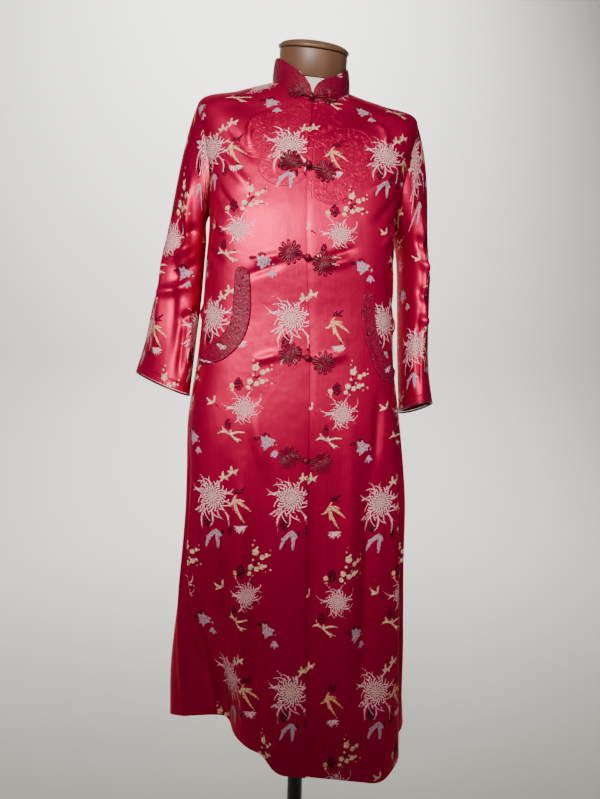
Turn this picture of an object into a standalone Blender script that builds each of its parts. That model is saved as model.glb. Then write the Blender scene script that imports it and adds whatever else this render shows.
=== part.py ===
"""A long front-opening cheongsam coat worn by a limbless dress form on a pole stand.

Metres, +Z up, the front faces -Y. Right and left are the wearer's, so "right" is at -X.
The coat is one surface, body(s, u): s is the angle round from the centre front, towards +X,
and u is the length up the side, from the hem over the shoulder to the neck.
"""

import math

import bmesh
import bpy
import numpy as np

WALL = 0.0015
SEAM_GAP = 0.0003
LAY_GAP = 0.0006

SECTION_COLUMNS = ("side_z", "front_z", "back_z", "centre_x", "half_width",
                   "front_depth", "back_depth", "squareness", "lean")
SECTIONS = (
    (0.358, 0.356, 0.362, -0.0165, 0.2258, 0.150, 0.168, 0.05, 0.000),
    (0.465, 0.462, 0.466, -0.0201, 0.2192, 0.147, 0.160, 0.06, 0.000),
    (0.580, 0.578, 0.580, -0.0202, 0.2101, 0.143, 0.151, 0.07, 0.000),
    (0.718, 0.717, 0.718, -0.0184, 0.1992, 0.140, 0.142, 0.08, 0.000),
    (0.870, 0.870, 0.870, -0.0190, 0.1927, 0.137, 0.136, 0.08, 0.000),
    (0.960, 0.960, 0.960, -0.0218, 0.1876, 0.136, 0.132, 0.08, 0.000),
    (1.065, 1.065, 1.065, -0.0218, 0.1715, 0.132, 0.124, 0.08, 0.000),
    (1.150, 1.150, 1.148, -0.0196, 0.1647, 0.131, 0.118, 0.08, 0.000),
    (1.230, 1.228, 1.226, -0.0184, 0.1602, 0.136, 0.117, 0.08, 0.000),
    (1.310, 1.300, 1.304, -0.0156, 0.1580, 0.133, 0.116, 0.08, 0.000),
    (1.360, 1.343, 1.350, -0.0120, 0.1670, 0.126, 0.115, 0.07, 0.000),
    (1.420, 1.390, 1.410, -0.0085, 0.1800, 0.115, 0.113, 0.06, -0.008),
    (1.488, 1.428, 1.472, -0.0055, 0.1860, 0.103, 0.104, 0.04, -0.016),
    (1.508, 1.454, 1.508, -0.0040, 0.1250, 0.090, 0.086, 0.02, -0.030),
    (1.526, 1.482, 1.537, -0.0025, 0.0660, 0.074, 0.066, 0.00, -0.075),
)
ARMPIT_SECTION, SHOULDER_SECTION = 9, 12

# The line of the closing edge, x at each height.
EDGE_COLUMNS = ("z", "x")
EDGE = (
    (0.354, -0.0037), (0.498, -0.0066), (0.675, -0.0096), (0.845, -0.0118), (1.009, -0.0131),
    (1.120, -0.0149), (1.235, -0.0217), (1.318, -0.0230), (1.396, -0.0205), (1.488, -0.0090),
)

# Large folds: the angle at the fold's foot and head, its width, how far out it stands, and
# the heights u between which it fades in, is full, and fades out.
FOLD_COLUMNS = ("foot_angle", "head_angle", "width", "out", "begins", "full_from", "full_to", "ends")
FOLDS = (
    (-50, -42, 26, -0.090, -0.30, -0.10, 0.00, 0.46),
    (-90, -86, 14, 0.010, -0.30, -0.10, 0.05, 0.40),
    (33, 40, 11, 0.016, -0.30, -0.10, 0.05, 0.45),
    (47, 44, 8, 0.007, -0.30, 0.10, 0.40, 0.82),
    (67, 62, 12, -0.012, -0.30, -0.10, 0.05, 0.50),
    (86, 84, 10, 0.005, -0.30, -0.10, 0.10, 0.40),
    (125, 128, 13, 0.009, -0.30, -0.10, 0.15, 0.60),
    (150, 152, 12, -0.010, -0.30, -0.10, 0.20, 0.62),
    (-150, -154, 12, 0.010, -0.30, -0.10, 0.20, 0.64),
    (-126, -128, 11, -0.009, -0.30, -0.10, 0.10, 0.45),
)

HEM_COLUMNS = ("angle", "rise")
HEM = (
    (-180, 0.000), (-120, 0.004), (-96, 0.014), (-84, 0.034), (-72, 0.048), (-60, 0.052),
    (-46, 0.042), (-32, 0.042), (-20, 0.039), (-13, 0.030), (-9, 0.010), (0, 0.000),
    (9, -0.007), (20, -0.017), (32, -0.024), (44, -0.012), (56, -0.003), (72, -0.007),
    (96, -0.007), (130, -0.002), (180, 0.000),
)
HEM_REACH = 0.30

ARMHOLE_SPREAD = math.radians(27)
SLEEVE_SIDES = 20
SKIRT_ROWS, WAIST_ROWS, TOP_ROWS = 7, 10, 4
WAIST_FROM_U = 0.56
FRONT_COLUMNS = 11
BACK_COLUMNS = 20
UNDERLAP = 0.022
OVERLAP_RISE = 0.0021
OVERLAP_REACH = 0.045

# A sleeve's rings below the armhole. Out is measured from the coat's centre plane; a ring
# rises outwards and forwards by its two slopes, and turn swings its flat side to the front.
RING_COLUMNS = ("z", "out", "y", "half_flat", "half_long", "turn", "rise_out", "rise_front")
RIGHT_RINGS = (
    (1.250, 0.2154, 0.006, 0.0345, 0.0600, 12, 0.05, 0.00),
    (1.165, 0.2275, 0.000, 0.0365, 0.0620, 22, 0.12, 0.02),
    (1.090, 0.2403, -0.006, 0.0360, 0.0640, 30, 0.25, 0.00),
    (1.024, 0.2525, -0.014, 0.0380, 0.0650, 34, 0.36, -0.18),
)
LEFT_RINGS = (
    (1.250, 0.1903, 0.002, 0.0235, 0.0620, 2, 0.02, 0.00),
    (1.160, 0.1932, -0.004, 0.0220, 0.0640, 3, 0.05, 0.06),
    (1.080, 0.1940, -0.012, 0.0225, 0.0650, 6, 0.12, 0.15),
    (0.984, 0.2029, -0.022, 0.0290, 0.0650, 10, 0.25, 0.27),
)
SLEEVE_ROWS = (0.0, 0.045, 0.10, 0.17, 0.25, 0.35, 0.47, 0.60, 0.73, 0.87, 1.0)
CUFF_BAND = 0.0042

COLLAR_HEIGHT = 0.038
COLLAR_BACK_HEIGHT = 0.040
COLLAR_EDGE_HEIGHT = 0.010
COLLAR_CORNER = 0.030
COLLAR_TOP = {"half_width": 0.0622, "front_depth": 0.0700, "back_depth": 0.0600}
COLLAR_END_COLUMNS = (0.0, 0.0012, 0.004, 0.008, 0.013, 0.020, 0.030)
COLLAR_ROWS, COLLAR_MIDDLE_COLUMNS = 5, 22

# A pocket band's two edges, as angle and height u on the coat, from its top end.
POCKET_COLUMNS = ("inner_angle", "inner_u", "outer_angle", "outer_u")
POCKET_RIGHT = (
    (-29.2, 0.861, -31.0, 0.861), (-26.1, 0.854, -33.5, 0.854), (-24.6, 0.825, -34.1, 0.824),
    (-23.9, 0.788, -34.0, 0.792), (-25.2, 0.760, -35.8, 0.770), (-29.1, 0.736, -41.7, 0.750),
    (-36.8, 0.716, -50.1, 0.737), (-47.7, 0.707, -57.4, 0.725), (-59.3, 0.705, -63.3, 0.714),
)
POCKET_LEFT = (
    (28.5, 0.827, 30.1, 0.827), (25.6, 0.819, 33.0, 0.822), (25.4, 0.787, 33.8, 0.792),
    (27.3, 0.757, 35.2, 0.769), (31.4, 0.725, 38.6, 0.743), (35.6, 0.697, 44.5, 0.720),
    (41.5, 0.683, 52.0, 0.708), (49.5, 0.678, 60.0, 0.698),
)
BAND_WALL = 0.0018
BAND_PUFF = 0.0006
BAND_ROWS, BAND_COLUMNS = 28, 5

# Frogs: the place of each half's flower, and of the knot between them, as x and z.
FROG_COLUMNS = ("name", "right_x", "right_z", "knot_x", "knot_z", "left_x", "left_z", "flower")
FROGS = (
    ("collar", -0.0360, 1.4965, -0.0100, 1.4900, 0.0180, 1.4925, 0.0130),
    ("chest", -0.0470, 1.3757, -0.0210, 1.3701, 0.0065, 1.3640, 0.0175),
    ("waist", -0.0480, 1.2387, -0.0210, 1.2313, 0.0055, 1.2232, 0.0190),
    ("hip", -0.0440, 1.0819, -0.0165, 1.0768, 0.0105, 1.0690, 0.0190),
    ("thigh", -0.0430, 0.9165, -0.0160, 0.9123, 0.0110, 0.9055, 0.0190),
)
FLOWER_PETALS = 8
FLOWER_POINTS = 24
FLOWER_HEIGHT = 0.0032
KNOT_RADIUS = 0.0055
COLLAR_FROG_GAP = 0.0008
NECK_BLEND = 0.007

# The dress form and its stand.
FORM_INSET_COLUMNS = ("u", "inside")
FORM_INSET = (
    (0.460, 0.030), (0.610, 0.026), (0.710, 0.036), (0.790, 0.040), (0.870, 0.022),
    (0.950, 0.009), (1.050, 0.0042), (1.130, 0.0030), (1.260, 0.0030), (1.285, 0.0036),
)
FORM_FOOT_U = 0.480
FORM_COLUMNS, NECK_COLUMNS, TURNED_COLUMNS = 36, 30, 32
NECK_HALF_WIDTH, NECK_HALF_DEPTH = 0.0555, 0.0530
NECK_TILT = math.radians(17)
NECK_LEAN = -0.05
NECK_TOP_Z = 1.5435
BLOCK_HEIGHT = 0.0400
BLOCK_HALF_WIDTH, BLOCK_HALF_DEPTH = 0.0573, 0.0545
CAP_RIM, CAP_THICK, CAP_DOME = 0.0022, 0.0055, 0.0100
PART_GAP = 0.0004
POLE_RADIUS = 0.0148
FLANGE_RADIUS, FLANGE_THICK = 0.055, 0.006
BASE_RADIUS, BASE_THICK, BASE_EDGE = 0.165, 0.014, 0.004
HUB_RADIUS, HUB_HEIGHT = 0.030, 0.030

# Each finish: its linear colour, roughness and metallic share.
FINISHES = {
    "brocade_satin": ((0.40, 0.012, 0.045, 1), 0.32, 0.0),
    "quilted_satin": ((0.30, 0.010, 0.035, 1), 0.42, 0.0),
    "frog_satin": ((0.22, 0.008, 0.028, 1), 0.40, 0.0),
    "cream_jersey": ((0.74, 0.71, 0.64, 1), 0.85, 0.0),
    "walnut": ((0.115, 0.052, 0.024, 1), 0.38, 0.0),
    "black_steel": ((0.015, 0.015, 0.016, 1), 0.35, 0.8),
}


def smooth(xs, ys, x):
    """The smooth curve through the points (xs, ys), read at x."""
    xs, ys = np.asarray(xs, float), np.asarray(ys, float)
    slope = np.gradient(ys, xs)
    x = np.clip(np.asarray(x, float), xs[0], xs[-1])
    i = np.clip(np.searchsorted(xs, x) - 1, 0, len(xs) - 2)
    step = xs[i + 1] - xs[i]
    t = (x - xs[i]) / step
    return (ys[i] * (1 + 2 * t) * (1 - t) ** 2 + slope[i] * step * t * (1 - t) ** 2
            + ys[i + 1] * t * t * (3 - 2 * t) + slope[i + 1] * step * t * t * (t - 1))


def ease(t):
    """From 0 at t = 0 to 1 at t = 1, level at both ends."""
    t = np.clip(t, 0, 1)
    return t * t * (3 - 2 * t)


def unit(v):
    """Each vector at length one."""
    return v / np.linalg.norm(v, axis=-1, keepdims=True)


def path_lengths():
    """u at each section: the length along the side from the hem."""
    table = np.array(SECTIONS)
    width, height = table[:, 4], table[:, 0]
    return np.concatenate([[0], np.cumsum(np.hypot(np.diff(width), np.diff(height)))])


SECTION_U = path_lengths()
ARMPIT_U, SHOULDER_U, NECK_U = SECTION_U[ARMPIT_SECTION], SECTION_U[SHOULDER_SECTION], SECTION_U[-1]


def section(u):
    """Each column of the section table, read at u."""
    table = np.array(SECTIONS)
    return {name: smooth(SECTION_U, table[:, i], u) for i, name in enumerate(SECTION_COLUMNS)}


def fold_depth(s, u):
    """How far the large folds push the cloth out at (s, u)."""
    total = np.zeros(np.broadcast(s, u).shape)
    for row in FOLDS:
        f = dict(zip(FOLD_COLUMNS, row))
        along = np.clip((u - max(f["begins"], 0)) / (f["ends"] - max(f["begins"], 0)), 0, 1)
        angle = np.radians(f["foot_angle"] + (f["head_angle"] - f["foot_angle"]) * along)
        away = (s - angle + math.pi) % (2 * math.pi) - math.pi
        fade = ease((u - f["begins"]) / (f["full_from"] - f["begins"]))
        fade = fade * (1 - ease((u - f["full_to"]) / (f["ends"] - f["full_to"])))
        total = total + f["out"] * fade * np.exp(-((away / math.radians(f["width"])) ** 2))
    return total


def body(s, u, folds=True):
    """The coat's outer surface at angle s and height u, an array of points."""
    s, u = np.broadcast_arrays(np.asarray(s, float), np.asarray(u, float))
    c = section(u)
    q = c["squareness"]
    depth = np.where(np.cos(s) > 0, c["front_depth"], c["back_depth"])
    side = c["half_width"] * (np.sin(s) + q * np.sin(3 * s)) / (1 - q)
    away = depth * (np.cos(s) - q * np.cos(3 * s)) / (1 - q)
    end_z = np.where(np.cos(s) > 0, c["front_z"], c["back_z"])
    z = c["side_z"] + (end_z - c["side_z"]) * np.cos(s) ** 2 + c["lean"] * side
    if folds:
        out = fold_depth(s, u)
        side, away = side + out * np.sin(s), away + out * np.cos(s)
        hem = np.array(HEM)
        turned = np.degrees((s + math.pi) % (2 * math.pi) - math.pi)
        z = z + smooth(hem[:, 0], hem[:, 1], turned) * (1 - ease(u / HEM_REACH))
    return np.stack([c["centre_x"] + side, -away, z], -1)


def cloth(s, u, out=0.0, folds=True):
    """The coat's surface moved out along its normal."""
    s, u = np.broadcast_arrays(np.asarray(s, float), np.asarray(u, float))
    h = 1e-4
    low, high = np.maximum(u - h, 0), np.minimum(u + h, NECK_U)
    across = body(s + h, u, folds) - body(s - h, u, folds)
    up = body(s, high, folds) - body(s, low, folds)
    return body(s, u, folds) + unit(np.cross(across, up)) * np.asarray(out, float)[..., None]


def edge_angle(u):
    """The angle s of the closing edge at height u."""
    edge = np.array(EDGE)
    c = section(u)
    x = smooth(edge[:, 0], edge[:, 1], c["front_z"])
    return np.arcsin((x - c["centre_x"]) / c["half_width"] / (1 + 2 * c["squareness"]))


def turn_of(length, u):
    """The angle that a length round the front makes at height u."""
    c = section(u)
    return length / c["half_width"] / (1 + 2 * c["squareness"])


def arm_height(phi, shrink=0.0):
    """The height u round the armhole: phi is 0 at the underarm and pi at the shoulder."""
    middle, reach = (ARMPIT_U + SHOULDER_U) / 2, (SHOULDER_U - ARMPIT_U) / 2
    return middle - (reach - shrink) * np.cos(phi)


def side_angle(u, gap=SEAM_GAP / 2):
    """The front's side edge: the side seam, the armhole, then the shoulder seam."""
    middle, reach = (ARMPIT_U + SHOULDER_U) / 2, (SHOULDER_U - ARMPIT_U) / 2
    cut = ARMHOLE_SPREAD * np.sqrt(np.clip(1 - ((u - middle) / reach) ** 2, 0, 1))
    return math.pi / 2 - cut - gap / section(u)["front_depth"]


def panel_heights():
    """The rows of every panel: even to the armpit, the sleeve's own round the armhole."""
    skirt = np.linspace(0, WAIST_FROM_U, SKIRT_ROWS + 1)[:-1]
    waist = np.linspace(WAIST_FROM_U, ARMPIT_U, WAIST_ROWS + 1)[:-1]
    arm = arm_height(np.pi * np.arange(SLEEVE_SIDES // 2 + 1) / (SLEEVE_SIDES // 2))
    top = np.linspace(SHOULDER_U, NECK_U, TOP_ROWS + 1)[1:]
    return np.concatenate([skirt, waist, arm, top])


def overlap_rise(s, u):
    """The right front stands out where it laps over the left one."""
    c = section(u)
    away = np.abs(s - edge_angle(u)) * c["half_width"]
    return OVERLAP_RISE * (1 - ease((away - UNDERLAP) / OVERLAP_REACH))


def sleeve_rings(side, phi):
    """The armhole's ring and those below it, and the way the sleeve leaves the armhole."""
    shrink = SEAM_GAP
    s = math.pi / 2 - (ARMHOLE_SPREAD - shrink / 0.11) * np.sin(phi)
    low = ease((np.cos(phi) + 1) / 2)
    start = cloth(side * s, arm_height(phi, shrink), 0.0006 * low, folds=False)
    rings = [start]
    for row in RIGHT_RINGS if side < 0 else LEFT_RINGS:
        r = dict(zip(RING_COLUMNS, row))
        turn = math.radians(r["turn"])
        out = np.array([side * math.cos(turn), -math.sin(turn), 0])
        front = np.array([-side * math.sin(turn), -math.cos(turn), 0])
        flat, long = -r["half_flat"] * np.cos(phi), r["half_long"] * np.sin(phi)
        point = np.array([side * r["out"], r["y"], r["z"]]) + flat[:, None] * out + long[:, None] * front
        point[:, 2] += r["rise_out"] * flat + r["rise_front"] * long
        rings.append(point)
    high = (1 - np.cos(phi)) / 2
    leave = np.stack([side * (0.45 - 0.05 * high), 0 * phi, -1.0 + 0 * phi], -1)
    return np.array(rings), unit(leave)


def armhole_normal(side, phi):
    """The coat's outward normal round the armhole."""
    s, u = side * (math.pi / 2 - ARMHOLE_SPREAD * np.sin(phi)), arm_height(phi)
    return unit(cloth(s, u, 0.001, folds=False) - body(s, u, folds=False))


def sleeve(side, phi, t):
    """The sleeve's outer surface: phi runs round from the underarm by the front, t along it."""
    rings, leave = sleeve_rings(side, phi)
    steps = np.linalg.norm(np.diff(rings, axis=0), axis=2)
    w = np.concatenate([[0], np.cumsum(steps.mean(1))])
    slope = np.gradient(rings, w, axis=0)
    slope[0] = leave * (steps[0] / w[1])[:, None]
    x = np.asarray(t, float) * w[-1]
    i = np.clip(np.searchsorted(w, x) - 1, 0, len(w) - 2)
    step = (w[i + 1] - w[i])[:, None, None]
    f = ((x - w[i]) / (w[i + 1] - w[i]))[:, None, None]
    return (rings[i] * (1 + 2 * f) * (1 - f) ** 2 + slope[i] * step * f * (1 - f) ** 2
            + rings[i + 1] * f * f * (3 - 2 * f) + slope[i + 1] * step * f * f * (f - 1))


def tube_normals(grid):
    """Outward normals of a tube given as a grid of rows and closed columns."""
    around = np.roll(grid, -1, 1) - np.roll(grid, 1, 1)
    along = np.gradient(grid, axis=0)
    normal = unit(np.cross(around, along))
    middle = grid.mean(1, keepdims=True)
    return normal * np.sign(((grid - middle) * normal).sum((1, 2)))[:, None, None]


def collar_point(s, h):
    """The collar's outer surface: s as on the coat, h from 0 at the neck seam to 1 on top."""
    s, h = np.broadcast_arrays(np.asarray(s, float), np.asarray(h, float))
    away = unit(np.stack([np.sin(s), -np.cos(s), 0 * s], -1))
    foot = body(s, np.full(s.shape, NECK_U), folds=False) - away * 0.0004
    foot[..., 2] += SEAM_GAP + 0.0001
    depth = np.where(np.cos(s) > 0, COLLAR_TOP["front_depth"], COLLAR_TOP["back_depth"])
    height = np.where(np.cos(s) > 0, COLLAR_HEIGHT,
                      COLLAR_HEIGHT + (COLLAR_BACK_HEIGHT - COLLAR_HEIGHT) * np.cos(s) ** 2)
    top = np.stack([COLLAR_TOP["half_width"] * np.sin(s) - 0.0025, -depth * np.cos(s),
                    foot[..., 2] + height], -1)
    bow = 0.0012 * np.sin(np.pi * np.clip(h, 0, 1))
    return foot + (top - foot) * h[..., None] + away * bow[..., None]


def collar_reach(length):
    """The share of the collar's height at a length from its front end: a rounded corner."""
    low = COLLAR_EDGE_HEIGHT / COLLAR_HEIGHT
    t = np.clip(length / COLLAR_CORNER, 0, 1)
    return low + (1 - low) * np.sqrt(1 - (1 - t) ** 2)


def on_front(x, z):
    """The (s, u) of the coat's front where it has this x and z, by Newton's steps."""
    x, z = np.broadcast_arrays(np.asarray(x, float), np.asarray(z, float))
    s, u = np.arcsin(np.clip((x + 0.012) / 0.19, -0.95, 0.95)), np.clip(z - 0.35, 0.01, 1.3)
    h = 1e-5
    for _ in range(14):
        p = body(s, u)
        ds, du = (body(s + h, u) - p) / h, (body(s, u + h) - p) / h
        ex, ez = x - p[..., 0], z - p[..., 2]
        det = ds[..., 0] * du[..., 2] - ds[..., 2] * du[..., 0]
        s = s + np.clip((ex * du[..., 2] - ez * du[..., 0]) / det, -0.3, 0.3)
        u = np.clip(u + np.clip((ez * ds[..., 0] - ex * ds[..., 2]) / det, -0.2, 0.2), 0, NECK_U - 0.0005)
    return s, u


def laid_on(x, z, out, front):
    """Points on the right or left front at x and z, moved out."""
    s, u = on_front(x, z)
    return cloth(s, u, out + (overlap_rise(s, u) if front == "right" else 0.0))


def laid_at_neck(x, z, out, front):
    """Points at x and z, moved out: on the front below the neck seam, on the collar above it."""
    s = np.arcsin((x + 0.0025) / COLLAR_TOP["half_width"] * 0.95)
    for _ in range(6):
        foot, top = collar_point(s, 0.0), collar_point(s, 1.0)
        share = np.clip((z - foot[..., 2]) / (top[..., 2] - foot[..., 2]), 0, 1)
        s = s + (x - collar_point(s, share)[..., 0]) / COLLAR_TOP["half_width"] / np.cos(s)
    above = z - collar_point(s, 0.0)[..., 2]
    low, low_out = laid_on(x, z, 0.0, "left"), laid_on(x, z, 0.001, "left")
    if front == "right":
        out = out + overlap_rise(*on_front(x, z)) * (1 - ease((above - 0.002) / (2 * NECK_BLEND)))
    level = unit(np.stack([np.sin(s), -np.cos(s), 0 * s], -1))
    turn = ease(above / (2 * NECK_BLEND) + 0.5)[..., None]
    point = np.where(above[..., None] > 0, collar_point(s, share), low)
    point = point + level * 0.0004 * turn
    way = unit(unit(low_out - low) * (1 - turn) + level * turn)
    return point + way * (out + 0.0 * x)[..., None]


def finish(name):
    """A plain material with one of the finishes above."""
    colour, roughness, metallic = FINISHES[name]
    material = bpy.data.materials.new(name)
    material.use_nodes = True
    shader = material.node_tree.nodes["Principled BSDF"]
    shader.inputs["Base Color"].default_value = colour
    shader.inputs["Roughness"].default_value = roughness
    shader.inputs["Metallic"].default_value = metallic
    return material


def add(name, points, faces, material):
    """One named solid, its faces turned out, shaded smooth but for its sharp edges."""
    mesh = bpy.data.meshes.new(name)
    mesh.from_pydata([tuple(p) for p in np.asarray(points).reshape(-1, 3)], [], faces)
    shape = bmesh.new()
    shape.from_mesh(mesh)
    if shape.calc_volume(signed=True) < 0:
        bmesh.ops.reverse_faces(shape, faces=shape.faces)
    shape.to_mesh(mesh)
    shape.free()
    made = finish(material)
    made.name = name + "_" + material
    mesh.materials.append(made)
    mesh.shade_smooth()
    mesh.set_sharp_from_angle(angle=math.radians(42))
    thing = bpy.data.objects.new(name, mesh)
    bpy.context.scene.collection.objects.link(thing)
    return thing


def grid_faces(rows, columns, start=0, closed=False, back=False):
    """Faces between the points of a grid, row after row; back turns them over."""
    faces = []
    for r in range(rows - 1):
        for c in range(columns if closed else columns - 1):
            a, b = start + r * columns + c, start + r * columns + (c + 1) % columns
            face = (a, b, b + columns, a + columns)
            faces.append(face[::-1] if back else face)
    return faces


def wall_panel(name, outer, inner, material):
    """A closed wall between an outer and an inner grid of points."""
    rows, columns = outer.shape[:2]
    n = rows * columns
    faces = grid_faces(rows, columns) + grid_faces(rows, columns, n, back=True)
    rim = ([(r, 0) for r in range(rows)] + [(rows - 1, c) for c in range(1, columns)]
           + [(r, columns - 1) for r in range(rows - 2, -1, -1)]
           + [(0, c) for c in range(columns - 2, 0, -1)])
    ids = [r * columns + c for r, c in rim]
    for a, b in zip(ids, ids[1:] + ids[:1]):
        faces.append((a, b, b + n, a + n))
    return add(name, np.concatenate([outer.reshape(-1, 3), inner.reshape(-1, 3)]), faces, material)


def wall_tube(name, outer, inner, material):
    """A closed wall round a tube that is open at both ends."""
    rows, columns = outer.shape[:2]
    n = rows * columns
    faces = grid_faces(rows, columns, closed=True) + grid_faces(rows, columns, n, closed=True, back=True)
    for c in range(columns):
        a, b = c, (c + 1) % columns
        faces.append((b, a, a + n, b + n))
        a, b = a + n - columns, b + n - columns
        faces.append((a, b, b + n, a + n))
    return add(name, np.concatenate([outer.reshape(-1, 3), inner.reshape(-1, 3)]), faces, material)


def capped(name, rings, material):
    """A solid through closed rings, with a point in the middle of each end."""
    rows, columns = rings.shape[:2]
    points = np.concatenate([rings.reshape(-1, 3), rings[0].mean(0)[None], rings[-1].mean(0)[None]])
    faces = grid_faces(rows, columns, closed=True)
    n = rows * columns
    for c in range(columns):
        d = (c + 1) % columns
        faces += [(d, c, n), (n - columns + c, n - columns + d, n + 1)]
    return add(name, points, faces, material)


def coat_panels():
    """The two fronts and the back, cut along the side seams, armholes and shoulders."""
    u = panel_heights()[:, None]
    even = np.linspace(0, 1, FRONT_COLUMNS)[None]
    side, edge = side_angle(u), edge_angle(u)
    near = edge - turn_of(1, u) * np.array([0.024, 0.011, 0])[None]
    s = np.concatenate([-side + (near[:, :1] + side) * even, near[:, 1:]], 1)
    rise = overlap_rise(s, u)
    wall_panel("coat_front_right", cloth(s, u, rise), cloth(s, u, rise - WALL), "brocade_satin")
    near = edge + turn_of(1, u) * np.array([-UNDERLAP, -0.011, 0, 0.011])[None]
    s = np.concatenate([near, near[:, -1:] + (side - near[:, -1:]) * even[:, 1:]], 1)
    low = np.minimum(u, NECK_U - 0.0012 * (s < edge))
    wall_panel("coat_front_left", cloth(s, low, 0.0), cloth(s, low, -WALL), "brocade_satin")
    back_side = math.pi - side
    s = back_side + (2 * math.pi - 2 * back_side) * np.linspace(0, 1, BACK_COLUMNS + 1)[None]
    wall_panel("coat_back", cloth(s, u, 0.0), cloth(s, u, -WALL), "brocade_satin")


def sleeves():
    """Each sleeve, and the narrow binding round its cuff."""
    phi = 2 * np.pi * np.arange(SLEEVE_SIDES) / SLEEVE_SIDES
    for side, name in ((-1, "right"), (1, "left")):
        outer = sleeve(side, phi, SLEEVE_ROWS)
        normal = tube_normals(outer)
        inner = outer - normal * WALL
        seam = ((1 - np.cos(phi)) / 2)[:, None] ** 2
        cut = unit(seam * armhole_normal(side, phi) + (1 - seam) * normal[0])
        inner[0] = outer[0] - cut * WALL
        wall_tube("sleeve_" + name, outer, inner, "brocade_satin")
        down = unit(outer[-1] - outer[-2])
        start = outer[-1] + down * (SEAM_GAP + 0.0001)
        end, out = outer[-1] + down * CUFF_BAND, normal[-1]
        rows = [start + out * 0.0002, start + down * 0.0008 + out * 0.0005,
                end - down * 0.0008 + out * 0.0005, end + out * 0.0001]
        inner = [start - out * 0.0017, start + down * 0.0008 - out * 0.0020,
                 end - down * 0.0008 - out * 0.0020, end - out * 0.0016]
        wall_tube("cuff_binding_" + name, np.array(rows), np.array(inner), "frog_satin")


def collar():
    """The stand-up collar, open in front, its corners rounded and its face quilted."""
    around = 2 * math.pi * 0.067
    ends = np.array(COLLAR_END_COLUMNS) / around * 2 * math.pi
    first = float(edge_angle(np.array([NECK_U]))[0]) + 0.0012 / 0.07
    last = first + 2 * math.pi - 0.0024 / 0.07
    middle = np.linspace(first + ends[-1], last - ends[-1], COLLAR_MIDDLE_COLUMNS + 1)[1:-1]
    s = np.concatenate([first + ends, middle, last - ends[::-1]])
    reach = collar_reach(np.minimum(s - first, last - s) * around / (2 * math.pi))
    h = np.linspace(0, 1, COLLAR_ROWS)[:, None] * reach[None]
    s = np.broadcast_to(s, h.shape)
    outer = collar_point(s, h)
    out = unit(np.stack([np.sin(s), -np.cos(s), 0 * s], -1))
    puff = 0.0003 * np.cos(math.pi * np.add.outer(np.arange(COLLAR_ROWS), np.arange(s.shape[1])))
    puff[0], puff[-1], puff[:, 0], puff[:, -1] = 0, 0, 0, 0
    wall_panel("collar", outer + out * puff[..., None], outer - out * WALL, "quilted_satin")


def pocket_bands():
    """The curved quilted bands along the pocket mouths, lying on the fronts."""
    for name, table in (("right", POCKET_RIGHT), ("left", POCKET_LEFT)):
        table = np.array(table)
        t = np.linspace(0, 1, len(table))
        along, across = np.linspace(0, 1, BAND_ROWS)[:, None], np.linspace(0, 1, BAND_COLUMNS)[None]
        edges = [smooth(t, table[:, i], along) for i in range(4)]
        s = np.radians(edges[0] + (edges[2] - edges[0]) * across)
        u = edges[1] + (edges[3] - edges[1]) * across
        base = LAY_GAP + (overlap_rise(s, u) if name == "right" else 0.0)
        puff = BAND_PUFF * (np.add.outer(np.arange(BAND_ROWS), np.arange(BAND_COLUMNS)) % 2)
        puff[0], puff[-1], puff[:, 0], puff[:, -1] = 0, 0, 0, 0
        outer, inner = cloth(s, u, base + BAND_WALL + puff), cloth(s, u, base)
        wall_panel("pocket_band_" + name, outer, inner, "quilted_satin")


def flower(name, x, z, towards_x, towards_z, radius, front):
    """One frog half: a flower of rouleau petals and the stem that runs to the knot."""
    angle = 2 * np.pi * np.arange(FLOWER_POINTS) / FLOWER_POINTS
    reach = radius * (0.93 + 0.07 * np.cos(FLOWER_PETALS * angle))
    aim, length = math.atan2(towards_z - z, towards_x - x), math.hypot(towards_x - x, towards_z - z)
    off = (angle + math.pi) % (2 * np.pi) - math.pi
    stem_end = length - KNOT_RADIUS - 0.0006
    reach = np.maximum(reach, np.where(np.abs(off) < 1e-6, stem_end, 0))
    lean = aim + np.where(np.abs(off) < 1e-6, 0, off)
    rings, heights = (0.60, 1.0), (1.0, 0.45)
    lay, gap = (laid_at_neck, COLLAR_FROG_GAP) if "collar" in name else (laid_on, LAY_GAP)
    top = [lay(x + reach * f * np.cos(lean), z + reach * f * np.sin(lean),
               gap + FLOWER_HEIGHT * h, front) for f, h in zip(rings, heights)]
    foot = [lay(x + reach * f * np.cos(lean), z + reach * f * np.sin(lean), gap, front) for f in rings]
    capped(name, np.array(top + foot[::-1]), "frog_satin")


def frogs():
    """Five frogs, each of two flowers and a knot, closing the front."""
    for row in FROGS:
        f = dict(zip(FROG_COLUMNS, row))
        for front in ("right", "left"):
            flower("frog_%s_%s" % (f["name"], front), f[front + "_x"], f[front + "_z"],
                   f["knot_x"], f["knot_z"], f["flower"], front)
        centre = laid_on(f["knot_x"], f["knot_z"], LAY_GAP + KNOT_RADIUS * 0.93, "right")
        turn = 2 * np.pi * np.arange(10) / 10
        rings = [centre + KNOT_RADIUS * np.stack([math.sin(a) * np.cos(turn), math.sin(a) * np.sin(turn),
                                                  0 * turn + math.cos(a)], -1)
                 for a in np.radians([165, 125, 90, 55, 15])]
        capped("button_" + f["name"], np.array(rings), "frog_satin")


def tilted(radius_x, radius_y, height, columns):
    """A ring square to the neck's axis, at a height above the form's neck top."""
    turn = 2 * np.pi * np.arange(columns) / columns
    x, y = radius_x * np.sin(turn), -radius_y * np.cos(turn)
    axis = np.array([0, -math.sin(NECK_TILT), math.cos(NECK_TILT)])
    back = np.array([0, math.cos(NECK_TILT), math.sin(NECK_TILT)])
    ring = np.array([-0.001, 0, NECK_TOP_Z]) + axis * height + y[:, None] * back
    ring[:, 0] += x
    ring[:, 2] += NECK_LEAN * x
    return ring


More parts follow.
